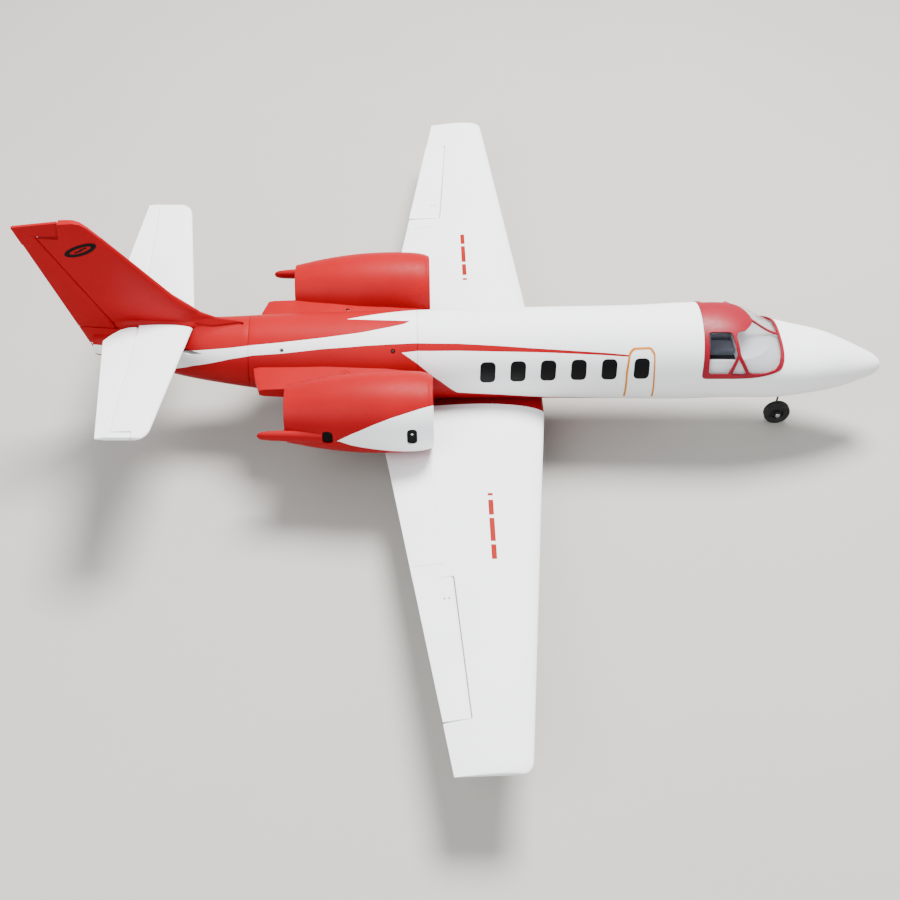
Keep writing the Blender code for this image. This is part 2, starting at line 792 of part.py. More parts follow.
def build_servo(name, frame, turn):
    """Small servo lying on its side; its arm turns about the frame's Y axis at y = 0."""
    y0, y1 = span(-0.0204, -0.0034, turn)
    case = box("case", (-0.0060, y0, -0.0060), (0.0150, y1, 0.0060), frame, 0.0008)
    y0, y1 = span(-0.0084, -0.0066, turn)
    lugs = box("lugs", (-0.0106, y0, -0.0058), (0.0196, y1, 0.0058), frame)
    boss = cylinder("boss", 0.0038, (0, -0.0044 * turn, 0), (0, -0.0012 * turn, 0), 16, matrix=frame)
    join(case, lugs, boss)
    settle(case, frame.translation)
    return publish(case, name, "black_plastic")


def build_arm(name, frame, turn):
    """Servo arm in the plane y = 0 with its hole ARM_LENGTH below the shaft."""
    y0, y1 = span(-0.0007, 0.0007, turn)
    plate = box("plate", (-0.0021, y0, -ARM_LENGTH - 0.0022), (0.0021, y1, 0.0021), frame)
    y0, y1 = span(-0.0009, 0.0020, turn)
    hub = cylinder("hub", 0.0034, (0, y0, 0), (0, y1, 0), 16, matrix=frame)
    join(plate, hub)
    cut(plate, link_hole(frame))
    settle(plate, frame.translation)
    return publish(plate, name, "white_plastic")


def link_hole(frame):
    return cylinder("hole", LINK_HOLE_R, (0, -0.004, -ARM_LENGTH), (0, 0.004, -ARM_LENGTH), 12, matrix=frame)


def build_horn(name, frame, foot, foot_length=0.0120):
    """Control horn in the plane y = 0: from the surface's skin to a hole under the hinge."""
    tip = -ARM_LENGTH
    outline = [
        (-foot_length, -foot),
        (0.0020, -foot),
        (0.0022, tip),
        (0.0010, tip - 0.0021),
        (-0.0012, tip - 0.0021),
        (-0.0026, tip + 0.0004),
    ]
    plate = prism("horn", outline, -0.0007, 0.0007, matrix=frame)
    cut(plate, link_hole(frame))
    settle(plate, frame.translation)
    return publish(plate, name, "white_plastic")


def build_pushrod(name, arm_frame, horn_frame, turn):
    """Wire with a hook through the arm's hole and another through the horn's hole."""
    side = LINK_ROD_Y * turn
    hook = -0.0016 * turn
    points = [
        arm_frame @ Vector((0, hook, -ARM_LENGTH)),
        arm_frame @ Vector((0, side, -ARM_LENGTH)),
        horn_frame @ Vector((0, side, -ARM_LENGTH)),
        horn_frame @ Vector((0, hook, -ARM_LENGTH)),
    ]
    body = wire(name, points, LINK_WIRE_R)
    settle(body, points[1])
    return publish(body, name, "steel_wire")


def build_linkage(prefix, servo_name, arm_frame, horn_frame, turn, foot, foot_length=0.0120):
    build_servo(servo_name, arm_frame, turn)
    build_arm(f"{prefix}_servo_arm", arm_frame, turn)
    build_horn(f"{prefix}_horn", horn_frame, foot, foot_length)
    build_pushrod(f"{prefix}_pushrod", arm_frame, horn_frame, turn)


# ------------------------------------------------------------------ tailplane
def stab_ring(y, nose=0.0, squeeze=1.0, points=8):
    lead = line_at(STAB_LE, y)
    chord = lead - line_at(STAB_TE, y)
    middle = line_at(STAB_Z, y)
    half = 0.5 * line_at(STAB_THICK, y)
    upper = []
    lower = []
    for share in chord_stations(points):
        along = nose + share * (1 - nose)
        height = half * thickness_shape(share) * squeeze
        upper.append((lead - along * chord, y, middle + height))
        lower.append((lead - along * chord, y, middle - height))
    return list(reversed(upper)) + lower[1:]


def elevator_hinge(side):
    ends = []
    for y in (ELEVATOR_ROOT_Y, STAB_TIP_Y):
        lead = line_at(STAB_LE, y)
        along = (lead - STAB_HINGE_X) / (lead - line_at(STAB_TE, y))
        half = 0.5 * line_at(STAB_THICK, y) * thickness_shape(along)
        ends.append(((STAB_HINGE_X, side * y, line_at(STAB_Z, y)), half))
    if side < 0:
        ends.reverse()
    return Hinge(ends[0][0], ends[1][0], ends[0][1], ends[1][1])


def build_stabilizer(side, label):
    rings = [stab_ring(y) for y in (STAB_ROOT_Y, 0.080, 0.150, 0.2060)]
    rings += [stab_ring(0.2165, 0.05, 0.9), stab_ring(STAB_TIP_Y, 0.17, 0.6)]
    body = loft("stabilizer", [mirrored(ring, side) for ring in rings])
    hinge = elevator_hinge(side)
    reach = max(hinge.radius) + HINGE_GAP
    cut(body, surface_cutter(hinge, 0.060))
    inner = STAB_ROOT_Y - 0.004
    outer = ELEVATOR_ROOT_Y + 0.001
    y0, y1 = sorted((side * inner, side * outer))
    cut(body, box("root_cut", (-0.480, y0, 0.140), (STAB_HINGE_X + reach, y1, 0.190)))
    y0, y1 = sorted((side * (HORN_BALANCE_Y - HINGE_GAP), side * (STAB_TIP_Y + 0.01)))
    cut(body, box("balance_cut", (-0.450, y0, 0.150), (HORN_BALANCE_X + HINGE_GAP, y1, 0.220)))
    cut(body, cylinder("spar_hole", STAB_SPAR_R + GAP, *spar_ends(STAB_SPAR, STAB_SPAR_HALF + GAP), 12))
    return publish(body, f"stabilizer_{label}", "white_foam")


def build_elevator(side, label):
    """Elevator with its cut-away root and the balance horn at its tip."""
    hinge = elevator_hinge(side)
    to_local = hinge.matrix.inverted()
    rings = []
    for y, root_x in ELEVATOR_OUTLINE:
        full = line_at(STAB_TE, y)
        trail_x = full if root_x is None else root_x
        local = to_local @ Vector((trail_x, side * y, line_at(STAB_Z, y)))
        nominal = (to_local @ Vector((full, side * y, line_at(STAB_Z, y)))).x
        radius = hinge.radius_at(local.y)
        trail_half = radius + (TRAIL_HALF - radius) * local.x / nominal
        rings.append(surface_ring(local.y, local.x, radius, trail_half))
    body = loft("elevator", rings, hinge.matrix)
    edge = Vector((STAB_HINGE_X, side * HORN_BALANCE_Y, line_at(STAB_Z, HORN_BALANCE_Y)))
    y0, y1 = ((to_local @ edge).y, hinge.length) if side > 0 else (0.0, (to_local @ edge).y)
    forward = HORN_BALANCE_X - STAB_HINGE_X
    balance = box("balance", (-0.0040, y0, -0.0022), (forward, y1, 0.0022), hinge.matrix, 0.0009)
    join(body, balance)
    settle(body, hinge.matrix.translation)
    return publish(body, f"elevator_{label}", "white_foam")


def elevator_frames():
    """Linkage frames of the elevator, which is driven on the right-hand half."""
    horn = shifted(elevator_hinge(-1).matrix, 0.0, elevator_hinge(-1).length - 0.0060, 0.0)
    arm = Matrix.Translation((ELEVATOR_SERVO_REACH, 0.0, ELEVATOR_SERVO_DROP)) @ horn
    return arm, horn


# ------------------------------------------------------------------ fin and rudder
def fin_chord(z):
    """Leading and trailing edge of the fin at height z."""
    edge = FIN_LE
    index = 0
    while index < len(edge) - 2 and z > edge[index + 1][0]:
        index += 1
    lead = line_at((edge[index], edge[index + 1]), z)
    low = (FIN_TE_BOTTOM[1], FIN_TE_BOTTOM[0])
    high = (FIN_TE_TOP[1], FIN_TE_TOP[0])
    return lead, line_at((low, high), z)


def fin_half(z, x):
    lead, trail = fin_chord(z)
    along = (lead - x) / (lead - trail)
    return line_at(FIN_HALF, z) * thickness_shape(along)


def fin_ring(z, points=8):
    lead, trail = fin_chord(z)
    half = line_at(FIN_HALF, z)
    left = []
    right = []
    for share in chord_stations(points):
        x = lead - share * (lead - trail)
        y = half * thickness_shape(share)
        left.append((x, y, z))
        right.append((x, -y, z))
    return list(reversed(left)) + right[1:]


def rudder_hinge():
    ends = []
    for x, z in (RUDDER_BOTTOM, RUDDER_TOP):
        ends.append(((x, 0.0, z), fin_half(z, x)))
    return Hinge(ends[0][0], ends[1][0], ends[0][1], ends[1][1])


def rudder_cutter():
    """Everything behind the rudder hinge and above the fixed tail stub, with the top horn."""
    hinge = rudder_hinge()
    low = hinge.matrix @ Vector((hinge.radius[0] + HINGE_GAP, 0.0, 0.0))
    high = hinge.matrix @ Vector((hinge.radius[1] + HINGE_GAP, hinge.length, 0.0))
    face = ((low.z, low.x), (high.z, high.x))
    floor = RUDDER_BOTTOM[1] - RUDDER_FOOT_GAP
    shelf = RUDDER_TOP[1] - RUDDER_HORN_GAP
    balance = RUDDER_HORN_X + HINGE_GAP
    outline = [
        (-0.600, floor),
        (line_at(face, floor), floor),
        (line_at(face, shelf), shelf),
        (balance, shelf),
        (balance + 0.0030, 0.3220),
        (balance + 0.0030, 0.3400),
        (-0.600, 0.3400),
    ]
    return prism("rudder_cut", outline, -0.040, 0.040)


def fin_top_cutter():
    """Trims the slightly sloping top edge of the fin and rudder and rounds its front corner."""
    outline = [
        (-0.580, 0.3030),
        (-0.5415, 0.3085),
        (-0.4900, 0.3155),
        (-0.4700, 0.3165),
        (-0.4620, 0.3145),
        (-0.4540, 0.3080),
        (-0.4400, 0.2930),
        (-0.4300, 0.3500),
        (-0.580, 0.3500),
    ]
    return prism("top_trim", outline, -0.040, 0.040)


def build_tail_section():
    stations = spaced(TAIL_CONE_X, REAR_SEAM_X - GAP / 2, 0.030)
    outer = [fuselage_ring(x) for x in reversed(stations)]
    inner = [fuselage_ring(x, -FOAM_WALL) for x in reversed(stations) if x > -0.400]
    body = shell_loft("tail_section", outer, inner, inner_closed=True)
    heights = (0.119, 0.150, 0.168, 0.178, 0.190, 0.211, 0.263, 0.297, 0.3185)
    fin = loft("fin", [fin_ring(z) for z in heights])
    cut(fin, fin_top_cutter())
    fairing = [
        ellipse_ring(x, 0.1662, STAB_ROOT_Y * width - GAP, 0.0105 * width, 16)
        for x, width in ((-0.318, 0.25), (-0.332, 0.70), (-0.350, 1.0), (-0.420, 1.0), (-0.440, 0.55))
    ]
    join(body, fin, loft("fairing", fairing))
    cut(body, rudder_cutter())
    cut(body, servo_pocket(rudder_frames()[0], 1))
    cut(body, elevator_slot())
    cut(body, cylinder("spar_hole", STAB_SPAR_R + GAP, *spar_ends(STAB_SPAR, 0.040), 12))
    cut(body, servo_cavity_trim())
    return publish(body, "tail_section", "red_foam")


def servo_cavity_trim():
    """Bore that leads the rudder servo's wire down into the hollow tail."""
    top = rudder_frames()[0].translation
    return cylinder("wire_hole", 0.0030, top + Vector((0.004, 0, -0.010)), (top.x + 0.030, 0, 0.130), 12)


def elevator_slot():
    """Slot in the tail's right side where the elevator pushrod comes out."""
    arm, horn = elevator_frames()
    tip = Vector((0, 0, -ARM_LENGTH))
    start = arm @ tip
    end = horn @ tip
    y = start.y - LINK_ROD_Y
    outline = []
    for share, rise in ((0.40, -0.0024), (1.00, -0.0024), (1.00, 0.0024), (0.40, 0.0024)):
        point = start.lerp(end, share)
        outline.append((point.x, point.z + rise))
    return prism("elevator_slot", outline, y - 0.0085, y + 0.0030)


def build_rudder():
    hinge = rudder_hinge()
    to_local = hinge.matrix.inverted()
    rings = []
    for key, (x, z) in enumerate((RUDDER_BOTTOM, RUDDER_TOP)):
        point = Vector((fin_chord(z)[1], 0.0, z))
        local = to_local @ point
        rings.append(surface_ring(0.0 if key == 0 else hinge.length, local.x, hinge.radius[key]))
    body = loft("rudder", rings, hinge.matrix)
    cut(body, box("bottom_trim", (-0.60, -0.03, 0.10), (-0.40, 0.03, RUDDER_BOTTOM[1])))
    outline = [
        (fin_chord(RUDDER_TOP[1] - 0.0080)[1], RUDDER_TOP[1] - 0.0080),
        (RUDDER_TOP[0] - 0.0010, RUDDER_TOP[1] - 0.0080),
        (RUDDER_TOP[0] + 0.0020, RUDDER_TOP[1]),
        (RUDDER_HORN_X, RUDDER_TOP[1]),
        (RUDDER_HORN_X + 0.0030, 0.3220),
        (FIN_TE_TOP[0], 0.3220),
        (FIN_TE_TOP[0], FIN_TE_TOP[1] - 0.0005),
    ]
    top = prism("rudder_horn", outline, -0.0021, 0.0021)
    cut(top, fin_top_cutter())
    join(body, top)
    settle(body, hinge.matrix.translation)
    return publish(body, "rudder", "red_foam")


def rudder_frames():
    """Linkage frames of the rudder, whose horn and arm stand out on the left side."""
    hinge = rudder_hinge()
    horn = shifted(hinge.matrix, 0.0, RUDDER_LINK_Y, 0.0)
    arm = Matrix.Translation((RUDDER_SERVO_REACH, 0.0, RUDDER_SERVO_RISE)) @ horn
    return arm, horn


# ------------------------------------------------------------------ canopy hatch and cockpit
def hatch_shell(name, outer_offset, inner_offset, shrink):
    """Slice of the fuselage skin between two offsets, cut to the hatch outline."""
    stations = spaced(0.280, 0.400, 0.0200)
    outer = [fuselage_ring(x, outer_offset) for x in stations]
    inner = [fuselage_ring(x, inner_offset) for x in stations]
    body = shell_loft(name, outer, inner, inner_closed=False)
    return boolean(body, hatch_prism(shrink), "INTERSECT")


def side_window_outline():
    corners = [(0.2950, 0.1390), (0.2950, 0.1815), (0.3235, 0.1815), (0.3302, 0.1640), (0.3180, 0.1390)]
    return rounded_outline(corners, 0.0040)


def quarter_window_outline():
    return rounded_outline([(0.3215, 0.1390), (0.3325, 0.1600), (0.3465, 0.1390)], 0.0020)


def windscreen_outline():
    corners = [
        (0.3505, 0.1390),
        (0.3360, 0.1640),
        (0.3290, 0.1785),
        (0.3400, 0.1800),
        (0.3535, 0.1830),
        (0.3545, 0.2100),
        (0.3925, 0.2100),
        (0.3925, 0.1560),
        (0.3870, 0.1440),
        (0.3720, 0.1400),
    ]
    return rounded_outline(corners, 0.0030)


def build_canopy_frame():
    body = hatch_shell("canopy_frame", 0.0, -CANOPY_WALL, GAP)
    for outline in (side_window_outline(), quarter_window_outline()):
        cut(body, prism("window", outline, -0.080, 0.080))
    for side in (-1, 1):
        y0, y1 = sorted((side * CENTRE_BAR_HALF, side * 0.080))
        cut(body, prism("windscreen", windscreen_outline(), y0, y1))
    return publish(body, "canopy_frame", "red_plastic")


def build_canopy_glazing():
    body = hatch_shell("canopy_glazing", -CANOPY_WALL - GAP, -CANOPY_WALL - GLAZING_WALL, 0.0015)
    return publish(body, "canopy_glazing", "clear_plastic")


def build_cockpit_tub():
    """Thin floor with a rear bulkhead, two seats and an instrument panel."""
    body = box("tub", (0.2935, -0.0440, 0.1385), (0.3800, 0.0440, 0.1405))
    panel = prism(
        "panel",
        [(0.3480, 0.1390), (0.3480, 0.1500), (0.3550, 0.1530), (0.3720, 0.1480), (0.3720, 0.1390)],
        -0.0400,
        0.0400,
    )
    join(body, panel)
    for side in (-1, 1):
        y0, y1 = sorted((side * 0.0050, side * 0.0310))
        seat = box("seat", (0.3040, y0, 0.1395), (0.3300, y1, 0.1460), bevel=0.0015)
        back = box("back", (0.2990, y0, 0.1395), (0.3060, y1, 0.1700), bevel=0.0020)
        join(body, seat, back)
    return publish(body, "cockpit_tub", "dark_seat")


# ------------------------------------------------------------------ nacelles and ducted fans
def nacelle_frame(side):
    """Frame at the inlet lip: +X forward along the duct axis."""
    x, y, z = NACELLE_LIP
    return Matrix.Translation((x, side * y, z)) @ Matrix.Rotation(-NACELLE_PITCH, 4, "Y")


def duct_profile():
    """Closed profile of the hole through the nacelle, from in front of the lip to behind it."""
    back = -NACELLE_LENGTH
    return [
        (0.004, 0.0),
        (0.004, 0.0385),
        (-0.001, 0.0365),
        (-0.006, 0.0345),
        (-0.016, 0.0330),
        (-HOUSING_SPAN[0] + GAP, 0.0327),
        (-HOUSING_SPAN[0] + GAP, DUCT_R),
        (-HOUSING_SPAN[1] - 0.001, DUCT_R),
        (back, EXHAUST_R[1] + 2 * GAP),
        (back - 0.0005, EXHAUST_R[1] + 2 * GAP),
        (back - 0.0005, 0.0),
    ]


def build_nacelle(side, label):
    """Foam nacelle with its pylon and the two tail fairings of the thrust reverser."""
    frame = nacelle_frame(side)
    back = -NACELLE_LENGTH
    skin = [
        (0.0, 0.0),
        (0.0, 0.0412),
        (-0.0010, 0.0432),
        (-0.0030, 0.0448),
        (-0.0080, 0.0466),
        (-0.0200, 0.0486),
        (-0.0500, 0.0499),
        (-0.0850, 0.0490),
        (-0.1150, 0.0462),
        (-0.1450, 0.0416),
        (-0.1650, 0.0375),
        (back, 0.0346),
        (back, 0.0),
    ]
    body = turned("nacelle", skin, DUCT_SIDES, frame)
    pylon_rings = []
    for y, lead, trail, half in PYLON_SECTIONS:
        pylon_rings.append(pylon_ring(side * y, lead, trail, half))
    join(body, loft("pylon", pylon_rings))
    outer = loft("fairing", [fairing_ring(side, *row) for row in FAIRING_SECTIONS], frame)
    join(body, outer)
    cut(body, turned("duct", duct_profile(), DUCT_SIDES, frame))
    cut(body, fuselage_envelope(GAP, -0.330, 0.060))
    return publish(body, f"nacelle_{label}", "red_foam")


def pylon_ring(y, lead, trail, half):
    """Blunt-tailed slab section in the x-z plane."""
    ring = []
    for x_share, half_share in PYLON_SHAPE:
        ring.append((lead + (trail - lead) * x_share, y, PYLON_Z + half * half_share))
    for x_share, half_share in reversed(PYLON_SHAPE[1:]):
        ring.append((lead + (trail - lead) * x_share, y, PYLON_Z - half * half_share))
    return ring


def fairing_ring(side, x, offset, half_y, half_z, sides=12):
    ring = []
    for step in range(sides):
        angle = 2 * math.pi * (step + 0.5) / sides
        ring.append((x, side * (offset + half_y * math.cos(angle)), half_z * math.sin(angle)))
    return ring


def build_fan_housing(side, label):
    """Duct ring with stator vanes and the cup that holds the motor."""
    frame = nacelle_frame(side)
    front, back = (-HOUSING_SPAN[0], -HOUSING_SPAN[1])
    outer = DUCT_R - GAP
    ring = [(front, outer), (front, FAN_BORE_R), (back, FAN_BORE_R), (back, outer)]
    body = turned("housing", list(reversed(ring)), DUCT_SIDES, frame)
    cup_front = -0.0500
    cup = [
        (back, FAN_HUB_R),
        (cup_front, FAN_HUB_R),
        (cup_front, 0.0030),
        (cup_front - 0.0015, 0.0030),
        (cup_front - 0.0015, MOTOR_R + GAP),
        (back, MOTOR_R + GAP),
    ]
    vanes = []
    for index in range(VANE_COUNT):
        turn = Matrix.Rotation(2 * math.pi * index / VANE_COUNT, 4, "X")
        low = (-0.0720, -0.0006, FAN_HUB_R - 0.0010)
        high = (-0.0570, 0.0006, FAN_BORE_R + 0.0008)
        vanes.append(box("vane", low, high, frame @ turn))
    join(body, vanes[0], turned("cup", cup, 16, frame), *vanes[1:])
    settle(body, frame @ Vector((-FAN_STATION, 0, 0)))
    return publish(body, f"fan_housing_{label}", "black_plastic")


def build_fan_motor(side, label):
    frame = nacelle_frame(side)
    body = cylinder("can", MOTOR_R - GAP, (-0.0518, 0, 0), (-0.0790, 0, 0), 16, matrix=frame)
    shaft = cylinder("shaft", 0.0012, (-0.0430, 0, 0), (-0.0600, 0, 0), 12, matrix=frame)
    join(body, shaft)
    settle(body, frame @ Vector((-0.0650, 0, 0)))
    return publish(body, f"fan_motor_{label}", "motor_metal")


def build_fan_rotor(side, label):
    """Spinner hub with twisted blades; it turns on the duct's axis."""
    frame = nacelle_frame(side) @ Matrix.Translation((-FAN_STATION, 0, 0))
    hub = [
        (0.0170, 0.0),
        (0.0150, 0.0062),
        (0.0095, 0.0118),
        (0.0010, 0.0150),
        (-0.0070, 0.0155),
        (-0.0070, 0.0016),
        (-0.0010, 0.0016),
        (-0.0010, 0.0),
    ]
    body = turned("hub", hub, 16, frame)
    for index in range(BLADE_COUNT):
        turn = Matrix.Rotation(2 * math.pi * index / BLADE_COUNT, 4, "X")
        rings = []
        for radius, chord, pitch in ((0.0135, 0.0120, 46.0), (0.0318, 0.0100, 28.0)):
            rings.append(blade_ring(radius, chord, math.radians(pitch), side))
        join(body, loft("blade", rings, frame @ turn))
    settle(body, frame.translation)
    return publish(body, f"fan_rotor_{label}", "black_plastic")


def blade_ring(radius, chord, pitch, side):
    ring = []
    for along, thick in ((-0.5, 0.0), (0.0, -0.0007), (0.5, 0.0), (0.0, 0.0007)):
        x = along * chord * math.sin(pitch) + thick * math.cos(pitch)
        y = side * (along * chord * math.cos(pitch) - thick * math.sin(pitch))
        ring.append((x, y, radius))
    return ring


def build_exhaust_tube(side, label):
    frame = nacelle_frame(side)
    front = -HOUSING_SPAN[1] - 0.0005
    back = -NACELLE_LENGTH + 0.0004
    wide, narrow = EXHAUST_R
    profile = [
        (back, narrow),
        (front, wide),
        (front, wide - EXHAUST_WALL),
        (back, narrow - EXHAUST_WALL),
    ]
    body = turned("exhaust", profile, DUCT_SIDES, frame)
    settle(body, frame @ Vector(((front + back) / 2, 0, 0)))
    return publish(body, f"exhaust_tube_{label}", "black_plastic")


# ------------------------------------------------------------------ landing gear
def build_wheel(name, centre, radius, width):
    """Foam-rubber tyre with a flat tread and its plastic hub, both turned about the axle.

    The tyre is a polygon that stands on one of its facets, so its corner radius is a
    little more than the wheel's height above the ground.
    """
    place = Matrix.Translation(centre) @ Matrix.Rotation(math.pi / TYRE_SIDES, 4, "Y")
    corner = radius / math.cos(math.pi / TYRE_SIDES)
    inner = radius * 0.58
    half = width / 2
    shoulder = corner - half
    tyre = [(half * 0.86, inner), (half, shoulder), (half * 0.80, shoulder + half * 0.75)]
    tyre.append((half * TREAD_SHARE, corner))
    tyre += [(-along, height) for along, height in reversed(tyre)]
    rubber = turned("tyre", tyre, TYRE_SIDES, place, "Y")
    publish(rubber, f"{name}_tyre", "black_tyre")
    rim = inner - GAP
    hub_half = half * 0.92
    web = hub_half * 0.45
    profile = [
        (hub_half, WIRE_R + GAP),
        (hub_half, WIRE_R + 0.0024),
        (web, WIRE_R + 0.0032),
        (web, rim - 0.0026),
        (hub_half, rim),
        (-hub_half, rim),
        (-web, rim - 0.0026),
        (-web, WIRE_R + 0.0032),
        (-hub_half, WIRE_R + 0.0024),
        (-hub_half, WIRE_R + GAP),
    ]
    hub = turned("hub", profile, 14, place, "Y")
    return publish(hub, f"{name}_hub", "white_plastic")


def build_nose_gear():
    x, y, z = NOSE_WHEEL
    half_x, half_y = NOSE_MOUNT_HALF
    mount = box("mount", (x - half_x, -half_y, NOSE_MOUNT_FOOT), (x + half_x, half_y, NOSE_MOUNT_TOP - GAP), bevel=0.0010)
    cut(mount, cylinder("bore", WIRE_R + GAP, (x, 0, 0.060), (x, 0, 0.110), 16))
    publish(mount, "nose_gear_mount", "white_plastic")
    side = 0.0105
    points = [
        (x, 0, 0.1060),
        (x, 0, 0.0560),
        (x, 0.0020, 0.0515),
        (x, side - 0.0020, 0.0435),
        (x, side, 0.0390),
        (x, side, z + 0.0030),
        (x, side - 0.0012, z + 0.0008),
        (x, side - 0.0036, z),
        (x, -0.0082, z),
    ]
    leg = wire("leg", points, WIRE_R, 3)
    collar = cylinder("collar", 0.0042, (x, 0, NOSE_MOUNT_TOP + GAP), (x, 0, 0.1035), 16)
    arm = box("arm", (x - 0.0025, -0.0130, NOSE_MOUNT_TOP + GAP), (x + 0.0025, 0.0130, 0.1008))
    join(leg, collar, arm)
    settle(leg, Vector((x, 0, NOSE_MOUNT_TOP)))
    publish(leg, "nose_gear_leg", "steel_wire")
    build_wheel("nose", Vector(NOSE_WHEEL), NOSE_WHEEL[2], 0.0120)
    frame = frame_along(Vector((x, 0, STEERING_SERVO_Z)), Vector((0, 0, -1)))
    return build_servo("steering_servo", frame, 1)


def build_main_gear(side, label):
    x, y, z = MAIN_WHEEL
    strut = MAIN_STRUT_Y
    points = [
        (x, strut, MAIN_LEG_TOP),
        (x, strut, z + 0.0050),
        (x, strut + 0.0014, z + 0.0014),
        (x, strut + 0.0050, z),
        (x, y + 0.0105, z),
    ]
    leg = wire("leg", mirrored(points, side), WIRE_R, 3)
    settle(leg, Vector((x, side * strut, z)))
    publish(leg, f"main_gear_leg_{label}", "steel_wire")
    return build_wheel(f"main_{label}", Vector((x, side * y, z)), z, 0.0150)


# ------------------------------------------------------------------ equipment inside
def build_equipment():
    battery = box("battery", (0.1600, -0.0170, 0.0750), (0.2650, 0.0170, 0.0985), bevel=0.0020)
    publish(battery, "battery", "battery_wrap")
    receiver = box("receiver", (0.0850, -0.0110, 0.0790), (0.1250, 0.0110, 0.0910), bevel=0.0012)
    publish(receiver, "receiver", "circuit_case")
    for side, label in SIDES:
        y0, y1 = sorted((side * 0.0030, side * 0.0250))
        esc = box("esc", (0.0150, y0, 0.0785), (0.0620, y1, 0.0870), bevel=0.0010)
        publish(esc, f"speed_controller_{label}", "circuit_case")
    spar = cylinder("spar", WING_SPAR_R, *spar_ends(WING_SPAR, WING_SPAR_HALF), 20)
    publish(spar, "wing_spar", "carbon_tube")
    spar = cylinder("spar", STAB_SPAR_R, *spar_ends(STAB_SPAR, STAB_SPAR_HALF), 16)
    publish(spar, "stabilizer_spar", "carbon_tube")


def build_controls():
    for side, label in SIDES:
        hinge = aileron_hinge(side)
        horn = link_frame(hinge, side)
        foot = hinge.radius_at((hinge.matrix.inverted() @ horn.translation).y) + GAP
        build_linkage(f"aileron_{label}", f"aileron_servo_{label}", aileron_servo_frame(side), horn, -side, foot)
    arm, horn = elevator_frames()
    build_linkage("elevator", "elevator_servo", arm, horn, -1, max(elevator_hinge(-1).radius) + GAP)
    arm, horn = rudder_frames()
    foot = rudder_hinge().radius_at(RUDDER_LINK_Y) + GAP
    build_linkage("rudder", "rudder_servo", arm, horn, 1, foot)


def build_model():
    build_fuselage_front()
    build_fuselage_rear()
    build_tail_section()
    build_belly_fairing()
    build_canopy_frame()
    build_canopy_glazing()
    build_cockpit_tub()
    for side, label in SIDES:
        build_wing(side, label)
        build_aileron(side, label)
        build_stabilizer(side, label)
        build_elevator(side, label)
        build_nacelle(side, label)
        build_fan_housing(side, label)
        build_fan_motor(side, label)
        build_fan_rotor(side, label)
        build_exhaust_tube(side, label)
        build_main_gear(side, label)
    build_rudder()
    build_nose_gear()
    build_equipment()
    build_controls()


build_model()
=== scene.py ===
"""Looks of the twin ducted-fan business-jet model: fine skins, paint, glazing and small fittings.

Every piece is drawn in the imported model's frame: +X to the nose, +Y to the left wing tip, +Z up,
metres.  The driving dimensions below repeat those that the CAD part is built from.
"""
import json
import math

import bmesh
import bpy
from mathutils import Matrix, Vector

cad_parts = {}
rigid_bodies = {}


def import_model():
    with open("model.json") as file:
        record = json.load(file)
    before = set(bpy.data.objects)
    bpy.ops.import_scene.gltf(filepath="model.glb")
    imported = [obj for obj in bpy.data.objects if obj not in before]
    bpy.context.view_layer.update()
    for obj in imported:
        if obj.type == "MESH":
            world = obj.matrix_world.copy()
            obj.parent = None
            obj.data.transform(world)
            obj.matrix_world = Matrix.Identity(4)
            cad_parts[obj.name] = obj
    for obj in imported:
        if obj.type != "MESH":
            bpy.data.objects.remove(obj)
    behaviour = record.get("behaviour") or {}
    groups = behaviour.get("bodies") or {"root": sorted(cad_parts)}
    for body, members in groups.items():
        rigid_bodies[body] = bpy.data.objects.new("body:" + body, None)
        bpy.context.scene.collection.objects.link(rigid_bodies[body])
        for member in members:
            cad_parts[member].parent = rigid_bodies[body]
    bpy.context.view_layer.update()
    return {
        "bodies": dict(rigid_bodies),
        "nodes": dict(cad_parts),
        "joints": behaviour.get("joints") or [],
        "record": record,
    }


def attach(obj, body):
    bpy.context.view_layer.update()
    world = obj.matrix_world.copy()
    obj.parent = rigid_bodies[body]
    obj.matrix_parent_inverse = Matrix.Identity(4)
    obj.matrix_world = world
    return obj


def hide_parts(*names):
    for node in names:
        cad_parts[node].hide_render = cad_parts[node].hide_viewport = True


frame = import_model()

# ------------------------------------------------------------------ driving dimensions
HALF_SPAN = 0.590
NOSE_X = 0.5415
TAIL_CONE_X = -0.4735
GAP = 0.0003             # clearance between pieces that touch
HINGE_GAP = 0.0008       # clearance between a control surface and the cut it swings in
FOAM_WALL = 0.0070       # wall of the moulded fuselage shells
FUSELAGE_SIDES = 120

